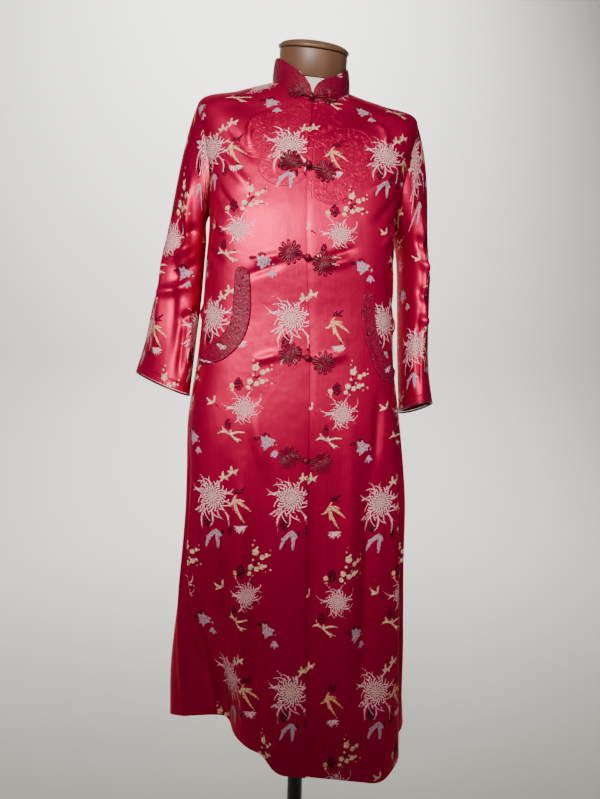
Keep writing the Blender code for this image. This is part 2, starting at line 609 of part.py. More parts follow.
def dress_form():
    """The padded torso and neck, the wood neck block and its lid."""
    inset = np.array(FORM_INSET)
    s = 2 * np.pi * np.arange(FORM_COLUMNS) / FORM_COLUMNS
    top = panel_heights()
    heights = np.concatenate([np.linspace(FORM_FOOT_U, ARMPIT_U, 9)[:-1],
                              top[top >= ARMPIT_U]])
    rings = []
    for u in heights:
        u = np.full(s.shape, u)
        rings.append(cloth(s, u, -smooth(inset[:, 0], inset[:, 1], u), folds=False))
    rings[0][:, 2] = rings[0][:, 2].mean()
    under = rings[0].mean(0) + (rings[0] - rings[0].mean(0)) * 0.90 - np.array([0, 0, 0.012])
    neck_foot = tilted(NECK_HALF_WIDTH + 0.0010, NECK_HALF_DEPTH + 0.002, -0.012, FORM_COLUMNS)
    rings = [under] + rings + [neck_foot, tilted(NECK_HALF_WIDTH, NECK_HALF_DEPTH, -0.0, FORM_COLUMNS)]
    capped("form_torso", np.array(rings), "cream_jersey")
    low, high = PART_GAP, PART_GAP + BLOCK_HEIGHT
    block = [tilted(BLOCK_HALF_WIDTH - d, BLOCK_HALF_DEPTH - d, h, NECK_COLUMNS)
             for d, h in ((0.001, low), (0.0, low + 0.001), (0.0, high - 0.001), (0.001, high))]
    capped("neck_block", np.array(block), "walnut")
    rim, depth, low = BLOCK_HALF_WIDTH + CAP_RIM, BLOCK_HALF_DEPTH + CAP_RIM, high + PART_GAP
    lid = [tilted(rim * f, depth * f, low + h, NECK_COLUMNS) for f, h in (
        (0.965, 0.0), (0.99, 0.0008), (1.0, CAP_THICK / 2), (0.99, CAP_THICK - 0.0008),
        (0.955, CAP_THICK + 0.0010), (0.80, CAP_THICK + CAP_DOME * 0.42),
        (0.52, CAP_THICK + CAP_DOME * 0.78), (0.20, CAP_THICK + CAP_DOME))]
    capped("neck_lid", np.array(lid), "walnut")
    return float(rings[0][:, 2].min())


def turned(name, profile, material):
    """A solid turned about the pole's axis, from a table of radius and height."""
    turn = 2 * np.pi * np.arange(TURNED_COLUMNS) / TURNED_COLUMNS
    rings = [np.stack([r * np.cos(turn), r * np.sin(turn), 0 * turn + z], -1) for r, z in profile]
    return capped(name, np.array(rings), material)


def stand(torso_foot):
    """The pole with its flange under the torso, and the round base with its hub."""
    top = torso_foot - PART_GAP
    under = top - FLANGE_THICK
    turned("stand_pole", ((POLE_RADIUS, HUB_HEIGHT + PART_GAP), (POLE_RADIUS, under - 0.02),
                          (POLE_RADIUS + 0.004, under - 0.004), (FLANGE_RADIUS, under),
                          (FLANGE_RADIUS, top)), "black_steel")
    turned("stand_base", ((BASE_RADIUS - BASE_EDGE, 0.0), (BASE_RADIUS, BASE_EDGE * 0.6),
                          (BASE_RADIUS, BASE_THICK - BASE_EDGE), (BASE_RADIUS - BASE_EDGE, BASE_THICK),
                          (HUB_RADIUS + 0.006, BASE_THICK + 0.002), (HUB_RADIUS, BASE_THICK + 0.008),
                          (HUB_RADIUS, HUB_HEIGHT - 0.002), (HUB_RADIUS - 0.002, HUB_HEIGHT)), "black_steel")


def build():
    """Clear the scene and build every piece."""
    for thing in list(bpy.data.objects):
        bpy.data.objects.remove(thing, do_unlink=True)
    coat_panels()
    sleeves()
    collar()
    pocket_bands()
    frogs()
    stand(dress_form())


build()
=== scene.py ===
"""A long cheongsam coat of silk satin brocade on a limbless dress form with a pole stand.

Metres, +Z up, the front faces -Y. Right and left are the wearer's, so "right" is at -X.
The coat is one surface, body(s, u): s is the angle round from the centre front, towards +X,
and u is the length up the side, from the hem over the shoulder to the neck.
"""

import math

import bmesh
import bpy
import numpy as np
from bpy.props import FloatProperty, FloatVectorProperty, PointerProperty
from mathutils import Matrix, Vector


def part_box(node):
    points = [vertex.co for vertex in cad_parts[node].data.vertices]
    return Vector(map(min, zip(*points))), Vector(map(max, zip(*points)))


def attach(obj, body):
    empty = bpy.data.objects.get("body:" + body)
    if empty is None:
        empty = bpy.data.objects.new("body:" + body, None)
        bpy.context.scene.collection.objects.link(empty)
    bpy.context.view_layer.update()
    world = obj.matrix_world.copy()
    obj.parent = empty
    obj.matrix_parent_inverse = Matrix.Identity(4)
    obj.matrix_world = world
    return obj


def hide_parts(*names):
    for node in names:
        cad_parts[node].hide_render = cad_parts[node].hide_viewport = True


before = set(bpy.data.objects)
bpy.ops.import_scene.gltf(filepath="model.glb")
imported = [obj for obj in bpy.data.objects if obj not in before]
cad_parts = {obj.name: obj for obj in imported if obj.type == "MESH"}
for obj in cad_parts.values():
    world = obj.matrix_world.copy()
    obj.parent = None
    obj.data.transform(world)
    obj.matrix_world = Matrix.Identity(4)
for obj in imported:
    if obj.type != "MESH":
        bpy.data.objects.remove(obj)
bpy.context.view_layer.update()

bl_info = {
    "name": "Long cheongsam coat",
    "version": (1, 0, 0),
    "blender": (4, 5, 0),
    "location": "3D View > Sidebar > Long coat",
    "description": "A brocade coat with frog closures on a limbless dress form, in a plain studio",
    "category": "Add Mesh",
}

# The pattern's sizes, as in the coat's solids.
WALL, SEAM_GAP, LAY_GAP = 0.0015, 0.0003, 0.0006
SECTION_COLUMNS = ("side_z", "front_z", "back_z", "centre_x", "half_width",
                   "front_depth", "back_depth", "squareness", "lean")
SECTIONS = np.array((
    (0.358, 0.356, 0.362, -0.0165, 0.2258, 0.150, 0.168, 0.05, 0.000),
    (0.465, 0.462, 0.466, -0.0201, 0.2192, 0.147, 0.160, 0.06, 0.000),
    (0.580, 0.578, 0.580, -0.0202, 0.2101, 0.143, 0.151, 0.07, 0.000),
    (0.718, 0.717, 0.718, -0.0184, 0.1992, 0.140, 0.142, 0.08, 0.000),
    (0.870, 0.870, 0.870, -0.0190, 0.1927, 0.137, 0.136, 0.08, 0.000),
    (0.960, 0.960, 0.960, -0.0218, 0.1876, 0.136, 0.132, 0.08, 0.000),
    (1.065, 1.065, 1.065, -0.0218, 0.1715, 0.132, 0.124, 0.08, 0.000),
    (1.150, 1.150, 1.148, -0.0196, 0.1647, 0.131, 0.118, 0.08, 0.000),
    (1.230, 1.228, 1.226, -0.0184, 0.1602, 0.136, 0.117, 0.08, 0.000),
    (1.310, 1.300, 1.304, -0.0156, 0.1580, 0.133, 0.116, 0.08, 0.000),
    (1.360, 1.343, 1.350, -0.0120, 0.1670, 0.126, 0.115, 0.07, 0.000),
    (1.420, 1.390, 1.410, -0.0085, 0.1800, 0.115, 0.113, 0.06, -0.008),
    (1.488, 1.428, 1.472, -0.0055, 0.1860, 0.103, 0.104, 0.04, -0.016),
    (1.508, 1.454, 1.508, -0.0040, 0.1250, 0.090, 0.086, 0.02, -0.030),
    (1.526, 1.482, 1.537, -0.0025, 0.0660, 0.074, 0.066, 0.00, -0.075),
))
ARMPIT_SECTION, SHOULDER_SECTION = 9, 12
EDGE_COLUMNS = ("z", "x")
EDGE = np.array((
    (0.354, -0.0037), (0.498, -0.0066), (0.675, -0.0096), (0.845, -0.0118), (1.009, -0.0131),
    (1.120, -0.0149), (1.235, -0.0217), (1.318, -0.0230), (1.396, -0.0205), (1.488, -0.0090),
))
FOLD_COLUMNS = ("foot_angle", "head_angle", "width", "out", "begins", "full_from", "full_to", "ends")
FOLDS = (
    (-50, -42, 26, -0.090, -0.30, -0.10, 0.00, 0.46),
    (-90, -86, 14, 0.010, -0.30, -0.10, 0.05, 0.40),
    (33, 40, 11, 0.016, -0.30, -0.10, 0.05, 0.45),
    (47, 44, 8, 0.007, -0.30, 0.10, 0.40, 0.82),
    (67, 62, 12, -0.012, -0.30, -0.10, 0.05, 0.50),
    (86, 84, 10, 0.005, -0.30, -0.10, 0.10, 0.40),
    (125, 128, 13, 0.009, -0.30, -0.10, 0.15, 0.60),
    (150, 152, 12, -0.010, -0.30, -0.10, 0.20, 0.62),
    (-150, -154, 12, 0.010, -0.30, -0.10, 0.20, 0.64),
    (-126, -128, 11, -0.009, -0.30, -0.10, 0.10, 0.45),
)
HEM_COLUMNS = ("angle", "rise")
HEM = np.array((
    (-180, 0.000), (-120, 0.004), (-96, 0.014), (-84, 0.034), (-72, 0.048), (-60, 0.052),
    (-46, 0.042), (-32, 0.042), (-20, 0.039), (-13, 0.030), (-9, 0.010), (0, 0.000),
    (9, -0.007), (20, -0.017), (32, -0.024), (44, -0.012), (56, -0.003), (72, -0.007),
    (96, -0.007), (130, -0.002), (180, 0.000),
))
HEM_REACH = 0.30
ARMHOLE_SPREAD = math.radians(27)
UNDERLAP, OVERLAP_RISE, OVERLAP_REACH = 0.022, 0.0021, 0.045
RING_COLUMNS = ("z", "out", "y", "half_flat", "half_long", "turn", "rise_out", "rise_front")
RINGS = {
    -1: ((1.250, 0.2154, 0.006, 0.0345, 0.0600, 12, 0.05, 0.00),
         (1.165, 0.2275, 0.000, 0.0365, 0.0620, 22, 0.12, 0.02),
         (1.090, 0.2403, -0.006, 0.0360, 0.0640, 30, 0.25, 0.00),
         (1.024, 0.2525, -0.014, 0.0380, 0.0650, 34, 0.36, -0.18)),
    1: ((1.250, 0.1903, 0.002, 0.0235, 0.0620, 2, 0.02, 0.00),
        (1.160, 0.1932, -0.004, 0.0220, 0.0640, 3, 0.05, 0.06),
        (1.080, 0.1940, -0.012, 0.0225, 0.0650, 6, 0.12, 0.15),
        (0.984, 0.2029, -0.022, 0.0290, 0.0650, 10, 0.25, 0.27)),
}
CUFF_BAND = 0.0042
COLLAR_HEIGHT, COLLAR_BACK_HEIGHT, COLLAR_EDGE_HEIGHT, COLLAR_CORNER = 0.038, 0.040, 0.010, 0.030
COLLAR_TOP = {"half_width": 0.0622, "front_depth": 0.0700, "back_depth": 0.0600}
COLLAR_AROUND = 2 * math.pi * 0.067
POCKET_COLUMNS = ("inner_angle", "inner_u", "outer_angle", "outer_u")
POCKETS = {
    "right": ((-29.2, 0.861, -31.0, 0.861), (-26.1, 0.854, -33.5, 0.854), (-24.6, 0.825, -34.1, 0.824),
              (-23.9, 0.788, -34.0, 0.792), (-25.2, 0.760, -35.8, 0.770), (-29.1, 0.736, -41.7, 0.750),
              (-36.8, 0.716, -50.1, 0.737), (-47.7, 0.707, -57.4, 0.725), (-59.3, 0.705, -63.3, 0.714)),
    "left": ((28.5, 0.827, 30.1, 0.827), (25.6, 0.819, 33.0, 0.822), (25.4, 0.787, 33.8, 0.792),
             (27.3, 0.757, 35.2, 0.769), (31.4, 0.725, 38.6, 0.743), (35.6, 0.697, 44.5, 0.720),
             (41.5, 0.683, 52.0, 0.708), (49.5, 0.678, 60.0, 0.698)),
}
BAND_WALL = 0.0018
FROG_COLUMNS = ("name", "right_x", "right_z", "knot_x", "knot_z", "left_x", "left_z", "flower")
FROGS = (
    ("collar", -0.0360, 1.4965, -0.0100, 1.4900, 0.0180, 1.4925, 0.0130),
    ("chest", -0.0470, 1.3757, -0.0210, 1.3701, 0.0065, 1.3640, 0.0175),
    ("waist", -0.0480, 1.2387, -0.0210, 1.2313, 0.0055, 1.2232, 0.0190),
    ("hip", -0.0440, 1.0819, -0.0165, 1.0768, 0.0105, 1.0690, 0.0190),
    ("thigh", -0.0430, 0.9165, -0.0160, 0.9123, 0.0110, 0.9055, 0.0190),
)
PETALS, PETAL_POINTS, CORD_SIDES = 11, 26, 8
KNOT_RADIUS = 0.0055
COLLAR_FROG_GAP, NECK_BLEND = 0.0008, 0.007
FORM_INSET_COLUMNS = ("u", "inside")
FORM_INSET = np.array((
    (0.460, 0.030), (0.610, 0.026), (0.710, 0.036), (0.790, 0.040), (0.870, 0.022),
    (0.950, 0.009), (1.050, 0.0042), (1.130, 0.0034), (1.260, 0.0032), (1.285, 0.0036),
))
FORM_FOOT_U = 0.480
NECK_HALF_WIDTH, NECK_HALF_DEPTH, NECK_TOP_Z = 0.0555, 0.0530, 1.5435
NECK_TILT, NECK_LEAN = math.radians(17), -0.05
BLOCK_HEIGHT, BLOCK_HALF_WIDTH, BLOCK_HALF_DEPTH = 0.0400, 0.0573, 0.0545
CAP_RIM, CAP_THICK, CAP_DOME = 0.0022, 0.0055, 0.0100
PART_GAP = 0.0004
# How near a trough comes to the form, and a radian's length as a share of the half width.
CREASE_CLEARANCE, ARC_SHARE = 0.0005, 0.92
# The left front sinks softly under the right one's edge.
EDGE_SINK, EDGE_SINK_REACH = 0.0014, 0.006
POLE_RADIUS, FLANGE_RADIUS, FLANGE_THICK = 0.0148, 0.055, 0.006
BASE_RADIUS, BASE_THICK, BASE_EDGE, HUB_RADIUS, HUB_HEIGHT = 0.165, 0.014, 0.004, 0.030, 0.030

# Soft creases placed one by one: from and to as angle and height u, half width and how far out
# in millimetres (a trough is negative), and the share of the length over which each end fades.
CREASE_COLUMNS = ("angle_a", "u_a", "angle_b", "u_b", "half_width", "out", "fade")
CREASES = (
    # the skirt's long folds in front
    (-14, -0.05, -17, 0.50, 11, -4.0, 0.45), (-22, -0.05, -24, 0.62, 9, 3.0, 0.40),
    (-33, 0.10, -31, 0.58, 10, -3.2, 0.40), (-61, -0.05, -56, 0.55, 12, 5.0, 0.40),
    (-70, 0.05, -66, 0.62, 10, -5.0, 0.40), (-78, -0.05, -75, 0.48, 9, 4.0, 0.40),
    (6, -0.05, 4, 0.64, 8, -3.2, 0.35), (17, -0.05, 19, 0.66, 12, 3.4, 0.40),
    (25, -0.05, 28, 0.60, 9, -4.0, 0.40), (54, -0.05, 50, 0.70, 9, -4.6, 0.40),
    (60, 0.12, 57, 0.66, 8, 2.8, 0.40), (76, -0.05, 73, 0.58, 10, 3.6, 0.40),
    (-12, 0.50, -20, 0.66, 8, 1.6, 0.45), (30, 0.52, 36, 0.68, 8, -2.2, 0.45),
    # from the frogs and round the waist
    (-8, 0.885, -26, 0.868, 7, 1.2, 0.40), (-8, 0.872, -30, 0.842, 6, -1.3, 0.40),
    (3, 0.862, 22, 0.880, 7, 1.2, 0.40), (3, 0.872, 24, 0.902, 6, -1.1, 0.40),
    (-8, 0.728, -22, 0.712, 7, 1.5, 0.40), (3, 0.716, 20, 0.728, 7, 1.4, 0.40),
    (-58, 0.800, -80, 0.838, 8, -2.2, 0.40), (-60, 0.772, -84, 0.800, 7, 2.0, 0.40),
    (52, 0.790, 78, 0.836, 8, -2.0, 0.40), (50, 0.760, 80, 0.792, 8, 1.9, 0.40),
    (-40, 0.862, -72, 0.894, 8, -1.6, 0.40), (40, 0.850, 70, 0.884, 8, -1.6, 0.40),
    # drag lines towards the armholes and shoulders
    (-30, 0.930, -56, 1.000, 8, -1.4, 0.40), (-26, 0.980, -50, 1.060, 9, 1.6, 0.40),
    (-22, 1.030, -44, 1.115, 8, -0.9, 0.40), (-38, 0.905, -62, 0.950, 8, 1.6, 0.40),
    (28, 0.930, 55, 1.000, 9, -1.4, 0.40), (24, 0.985, 50, 1.060, 8, 1.6, 0.40),
    (20, 1.050, 42, 1.120, 9, -0.9, 0.40), (36, 0.895, 60, 0.948, 8, 1.4, 0.40),
    (-29, 1.055, -27, 1.175, 5, 1.6, 0.35), (33, 1.060, 30, 1.170, 6, 1.4, 0.35),
    # the back's folds, and its drag lines from the shoulder blades
    (168, -0.05, 170, 0.60, 12, 4.0, 0.40), (-168, -0.05, -171, 0.55, 10, -4.0, 0.40),
    (139, -0.05, 141, 0.52, 9, -4.2, 0.40), (112, -0.05, 114, 0.60, 10, -4.0, 0.40),
    (101, 0.02, 104, 0.55, 9, 3.6, 0.40), (-138, -0.05, -140, 0.58, 10, -4.4, 0.40),
    (-113, -0.05, -116, 0.56, 9, 4.0, 0.40), (-101, 0.00, -104, 0.50, 9, -3.6, 0.40),
    (-160, 0.25, -162, 0.66, 9, 3.0, 0.40), (160, 0.10, 161, 0.58, 8, -2.6, 0.40),
    (150, 0.730, 122, 0.780, 8, -1.8, 0.40), (-150, 0.735, -120, 0.790, 8, -1.8, 0.40),
    (154, 0.770, 128, 0.830, 8, 1.8, 0.40), (-156, 0.775, -128, 0.826, 7, 1.8, 0.40),
    (152, 0.900, 124, 0.960, 9, -1.0, 0.40), (-150, 0.905, -124, 0.965, 9, -1.0, 0.40),
    (146, 0.960, 126, 1.040, 8, 1.6, 0.40), (-148, 0.965, -127, 1.045, 8, 1.6, 0.40),
    (178, 0.800, 176, 0.960, 9, 1.2, 0.45),
)
# On a sleeve: from and to as angle phi (0 underarm, 90 front, 180 outside) and share t along.
SLEEVE_CREASE_COLUMNS = ("phi_a", "t_a", "phi_b", "t_b", "half_width", "out", "fade")
SLEEVE_CREASES = {
    -1: ((60, 0.30, 150, 0.40, 8, -3.0, 0.40), (70, 0.38, 165, 0.47, 7, 2.4, 0.40),
         (50, 0.46, 150, 0.55, 8, -3.2, 0.40), (75, 0.56, 185, 0.62, 8, 2.6, 0.40),
         (40, 0.66, 130, 0.74, 8, -2.6, 0.40), (110, 0.10, 100, 0.50, 9, 2.6, 0.40),
         (135, 0.12, 128, 0.95, 11, -2.8, 0.35), (165, 0.25, 160, 0.98, 10, 2.8, 0.35),
         (200, 0.20, 205, 0.98, 11, -2.6, 0.35), (240, 0.15, 235, 0.90, 11, 2.6, 0.35),
         (285, 0.30, 215, 0.42, 8, -2.6, 0.40), (300, 0.48, 230, 0.58, 8, -2.6, 0.40),
         (85, 0.60, 88, 0.98, 9, 2.0, 0.35), (100, 0.70, 104, 0.98, 8, -2.2, 0.35)),
    1: ((60, 0.28, 150, 0.36, 8, -2.4, 0.40), (70, 0.38, 170, 0.45, 7, 2.4, 0.40),
        (55, 0.50, 160, 0.57, 8, -2.6, 0.40), (60, 0.62, 150, 0.66, 7, 2.2, 0.40),
        (100, 0.08, 108, 0.92, 10, 2.4, 0.35), (130, 0.14, 132, 0.96, 10, -2.4, 0.35),
        (160, 0.20, 168, 0.98, 11, 2.4, 0.35), (205, 0.15, 200, 0.96, 11, -2.6, 0.35),
        (245, 0.20, 240, 0.90, 11, 2.4, 0.35), (290, 0.32, 220, 0.44, 8, -2.4, 0.40),
        (300, 0.52, 230, 0.60, 8, -2.4, 0.40), (80, 0.55, 84, 0.98, 8, -1.8, 0.35)),
}

# The woven repeat, charted in millimetres from a chrysanthemum's centre, X towards
# the wearer's left and Y up. A blade runs from a to b, with its half width and its bend.
REPEAT_WIDE, REPEAT_TALL = 130.0, 300.0
BLADE_COLUMNS = ("colour", "a_x", "a_y", "b_x", "b_y", "half_width", "bend")
LARGE_BLOOM = (
    ("pink", -16, 8, -42, 20, 1.28, 5.1), ("pink", -14, 14, -29, 36, 1.2, -6.8),
    ("pink", -9, 16, -24, 29, 1.04, 4.25), ("pink", -2, 18, -4, 36, 1.04, 1.7),
    ("pink", 1, 18, 0, 27, 1.04, 4.25), ("pink", 5, 18, 9, 29, 1.04, -1.7),
    ("pink", 11, 15, 22, 32, 1.04, 3.4), ("pink", 17, 8, 37, 17, 1.2, -5.1),
    ("pink", 18, 2, 40, 3, 1.12, 3.4), ("pink", -22, 2, -39, 4, 1.6, -4.25),
    ("pink", -26, -18, -37, -25, 1.36, 1.7), ("pink", -16, -13, -32, -28, 1.04, 3.4),
    ("pink", -12, -14, -25, -25, 1.12, -4.25), ("pink", -9, -17, -21, -51, 1.6, -6.8),
    ("pink", -4, -20, -8, -46, 1.36, 5.1), ("pink", 12, -16, 24, -50, 1.52, 6.8),
    ("pink", 8, -18, 17, -36, 1.2, -3.4), ("pink", 17, -8, 36, -20, 1.28, 5.1),
    ("pink", 15, -13, 31, -30, 1.12, -3.4), ("dark", -10, -47, -10, -29, 7.5, 0),
    ("dark", 28, -57, 28, -42, 4.6, 1), ("dark", 13, -57, 13, -49, 2.6, 0),
    ("grey", 3, -49, -18, -77, 3.0, -3), ("grey", 3, -49, 3, -78, 3.2, 1),
    ("grey", 3, -50, 11, -60, 2.4, 0), ("grey", 2, -50, -16, -61, 2.6, 2),
)
SMALL_BLOOM = (
    ("pink", -11, 4, -39, 10, 1.2, 5.1), ("pink", -11, -2, -32, -5, 1.12, -3.4),
    ("pink", -8, 9, -27, 32, 1.04, -4.25), ("pink", 3, 12, 10, 29, 1.04, 1.7),
    ("pink", 8, 9, 26, 26, 1.04, -8.5), ("pink", 11, 0, 32, -2, 1.12, 6.8),
    ("pink", 9, -7, 23, -17, 1.04, 3.4), ("pink", 1, -12, 2, -27, 1.12, -4.25),
    ("pink", -7, -10, -17, -25, 1.04, 1.7), ("pink", -3, 12, -6, 24, 1.04, -4.25),
    ("pink", 5, -11, 13, -24, 1.04, -1.7), ("dark", -9, 31, -9, 50, 6.5, 2),
    ("dark", -16, 36, -4, 46, 5.0, 0), ("dark", -2, 37, -14, 44, 4.0, 0),
    ("dark", 6, 28, 14, 48, 1.2, 1), ("dark", 14, 48, 17, 84, 1.1, -2),
    ("dark", 11, 38, 30, 58, 1.2, 2), ("dark", 30, 58, 43, 73, 1.1, -1),
    ("dark", 26, 44, 44, 41, 1.0, 1), ("dark", 15, 50, 24, 57, 1.0, 0),
)
# Small blossoms: their places from the small bloom's centre, and their width across.
BLOSSOM_COLUMNS = ("colour", "x", "y", "wide")
BLOSSOMS = (
    ("gold", -20, 37, 9), ("gold", -19, 30, 5), ("cream", 16, 86, 3.4), ("cream", 14, 79, 4),
    ("cream", 21, 75, 4), ("cream", 18, 68, 12), ("cream", 29, 60, 9), ("cream", 37, 64, 7),
    ("cream", 43, 72, 3.4), ("cream", 43, 65, 3.4), ("cream", 14, 56, 5), ("cream", 23, 50, 4),
    ("cream", 9, 45, 10), ("cream", 19, 41, 9), ("cream", 28, 45, 9), ("cream", 35, 47, 6),
    ("cream", 43, 42, 4), ("cream", 35, 38, 3.4), ("cream", 6, 35, 8), ("cream", 12, 31, 3.4),
)
LILY = (
    ("cream", 0, 0, -2, 11, 1.8, 1), ("cream", 0, 0, 9, 6, 1.8, -1), ("cream", 0, 0, 7, -5, 1.6, 1),
    ("cream", 0, 0, -5, -7, 1.6, -1), ("cream", 0, 0, -9, 2, 1.8, 1), ("dark", -3, -6, -4, -2, 1.8, 0),
)
BAMBOO = (
    ("gold", 0, 0, 30, -18, 1.9, 2), ("gold", 0, 0, 20, -35, 2.0, -2), ("gold", 0, 0, 20, -2, 1.6, 1),
    ("gold", 0, 0, 6, 9, 1.4, 0), ("gold", 0, 0, 3, -20, 1.5, 1), ("gold", 1, -1, 10, -21, 1.5, 0),
    ("gold", 0, 0, -12, -11, 1.6, 3), ("gold", 0, 0, -5, -10, 1.2, 0),
    ("dark", 3, 8, 10, 20, 2.0, 1), ("dark", 4, 9, 21, 23, 2.2, -1), ("dark", 8, 10, 20, 11, 1.8, 0),
    ("dark", -20, 4, -6, 1, 1.2, 1), ("dark", 14, -34, 17, -28, 3.0, 0),
)
BLADES_AND_TWIG = (
    ("cream", 0, 0, -14, 8, 1.8, 2), ("cream", 0, 0, -12, -4, 1.8, -1), ("cream", 1, 1, 2, 12, 1.6, 1),
    ("dark", 0, -3, 12, -12, 1.4, 2),
)
SPRAY = (
    ("cream", 0, 0, -20, 0, 1.8, -4), ("cream", 0, 0, -13, 14, 1.6, 2), ("cream", 0, 0, 25, 3, 1.6, 2),
    ("cream", 0, 0, 22, -11, 1.6, -2), ("cream", 0, 0, 14, -15, 1.5, 1), ("cream", 0, 0, 2, 8, 1.6, 0),
    ("dark", -2, 9, -2, 25, 5.4, 1), ("dark", 12, 4, 19, 8, 1.3, 0),
)
# A half bloom is a fan of eight petals, and a peony a ragged ring of nine with buds and leaves.
HALF_BLOOM = tuple(("pink", 0, 4, 13 * math.cos(a), 4 + 12 * math.sin(a), 1.2, 0.6)
                   for a in np.radians(np.linspace(186, 354, 8)))
PEONY = tuple(("grey", 2 * math.cos(a), 2 * math.sin(a), (11 + 3 * math.cos(3 * a)) * math.cos(a),
               (11 + 3 * math.cos(3 * a)) * math.sin(a), 3.0, 1.0)
              for a in np.linspace(0.2, 2 * math.pi + 0.2, 10)[:-1])
PEONY += (
    ("dark", -22, 6, -10, 7, 3.4, 0), ("dark", -7, 13, 4, 10, 4.6, 0),
    ("grey", 15, -4, 15.5, -4, 5.0, 0), ("grey", 13, -14, 6, -24, 2.6, 1),
    ("grey", 13, -14, 13, -27, 2.6, 0), ("grey", 13, -14, 20, -23, 2.6, -1),
)
# Each group's blades and its reach, the chrysanthemum heads' radii, and how far their charts go.
BLADE_GROUPS = {
    "large_bloom": (LARGE_BLOOM, 92), "small_bloom": (SMALL_BLOOM, 92), "half_bloom": (HALF_BLOOM, 22),
    "lily": (LILY, 20), "bamboo": (BAMBOO, 50), "blades": (BLADES_AND_TWIG, 24), "spray": (SPRAY, 34),
    "peony": (PEONY, 40),
}
HEADS, HEAD_REACH, BLOOM_REACH = {"large_bloom": 22.0, "small_bloom": 15.5}, 2.2, 90
# The repeat's groups: what each is, and its centre from the large bloom's.
GROUP_COLUMNS = ("kind", "x", "y")
GROUPS = (
    ("large_bloom", 0, 0), ("lily", 21, 33), ("lily", 35, 43), ("bamboo", 36, -3),
    ("half_bloom", 47, -45), ("small_bloom", 54, -150), ("blades", 4, -142), ("spray", 30, -193),
    ("peony", -40, -205),
)
# On the fronts the photograph shows where each group lies, from the closing edge.
FRONT_GROUPS = {
    "right": (("large_bloom", -27, 0), ("large_bloom", -157, 0), ("lily", -6, 33), ("lily", -136, 33),
              ("lily", -122, 43), ("bamboo", -121, -3), ("half_bloom", -110, -45),
              ("small_bloom", -103, -150), ("small_bloom", -233, -150), ("blades", -153, -142),
              ("spray", -127, -193), ("peony", -67, -205), ("peony", -197, -205)),
    "left": (("lily", -6, 33), ("lily", 8, 43), ("bamboo", 37, -3), ("half_bloom", 48, -45),
             ("large_bloom", 131, 0), ("lily", 152, 33), ("lily", 166, 43), ("bamboo", 167, -3),
             ("half_bloom", 178, -45), ("small_bloom", 55, -150), ("small_bloom", 185, -150),
             ("blades", 5, -142), ("blades", 135, -142), ("spray", 31, -193), ("spray", 161, -193),
             ("peony", 91, -205)),
}
# The stitched cloud-collar yoke on the fronts: its lobes as X from the closing edge, height
# on the chart and radius, in millimetres.
YOKE_COLUMNS = ("x", "y", "radius")
YOKE_LOBES = ((-60, 38, 40), (-34, -34, 40), (-78, -4, 22), (44, -58, 40), (66, 6, 40), (84, -34, 20),
              (0, 52, 52))
# Rows of stitches, in millimetres: from the cuff's edge, and from the left front's closing edge
# down to a height on the chart.
CUFF_STITCH, EDGE_STITCH, EDGE_STITCH_FOOT = 12.0, 10.5, -90

# Where the repeat lies on each panel: the chart's X and Y of the large bloom, from the panel's
# own zero, and the heights z at which the rows of large blooms lie, from the top.
BLOOM_HEIGHTS = {"right": (1.404, 1.139, 0.849, 0.510), "left": (1.400, 1.137, 0.835, 0.502)}
BACK_BLOOM = (0.0, 0.0)
SLEEVE_BLOOM = {-1: (-20.0, 5.0), 1: (40.0, -15.0)}

# Each cloth piece's cut: its width, length and flat area.
FLAT_COLUMNS = ("width", "length", "area")

# The grids: rows below, beside and above the armhole, columns across, and a sleeve's share at
# its head that has closer rows. A wall's inner grid takes every fourth row and column.
FRONT_ROWS, FRONT_COLUMNS, UNDERLAP_COLUMNS = (384, 80, 48), 149, 12
BACK_ROWS, BACK_COLUMNS, SLEEVE_COLUMNS, SLEEVE_HEAD = (320, 64, 40), 217, 256, 0.12
INNER_STEP = 4
# The depth, in millimetres, of a point that is far from every outline.
FAR = 9.0

# The camera, worked out from the photograph: the object's own size gives its distance.
LENS, SENSOR = 26.0, 36.0
CAMERA_DISTANCE, CAMERA_HEIGHT = 1.05, 1.13
CAMERA_ROUND, CAMERA_DOWN, CAMERA_ROLL = math.radians(8.0), math.radians(7.5), math.radians(1.4)
PICTURE_WIDE, PICTURE_TALL, AXIS_PIXEL = 600, 799, 304.5
# The lights' sizes are in metres, powers in watts and spreads in degrees.
LIGHT_COLUMNS = ("name", "place", "aim", "size", "power", "tone", "spread")
LIGHTS = (
    ("key_light", (-0.60, -1.85, 1.80), (-0.03, -0.10, 1.22), 0.80, 7.0, "#FFF6F2", 44),
    ("fill_light", (0.5, -2.1, 2.2), (0.02, 0.0, 1.3), 0.8, 0.6, "#F2F5FF", 60),
    ("wall_light", (0.0, 0.9, 3.7), (0.0, 2.6, 2.0), 2.6, 160, "#FFFFFA", 105),
)
SKY_TONE, SKY_STRENGTH = "#E8E8E8", 0.08


# Colours and sizes that a user can change

def linear(hex_colour):
    """An sRGB hex colour as linear red, green, blue and alpha."""
    parts = [int(hex_colour[i:i + 2], 16) / 255 for i in (1, 3, 5)]
    return tuple(c / 12.92 if c <= 0.04045 else ((c + 0.055) / 1.055) ** 2.4 for c in parts) + (1.0,)


def colour(name, text, hex_colour):
    """A colour property with a default from a hex value."""
    return FloatVectorProperty(name=name, description=text, subtype="COLOR", size=4, min=0, max=1,
                               default=linear(hex_colour))


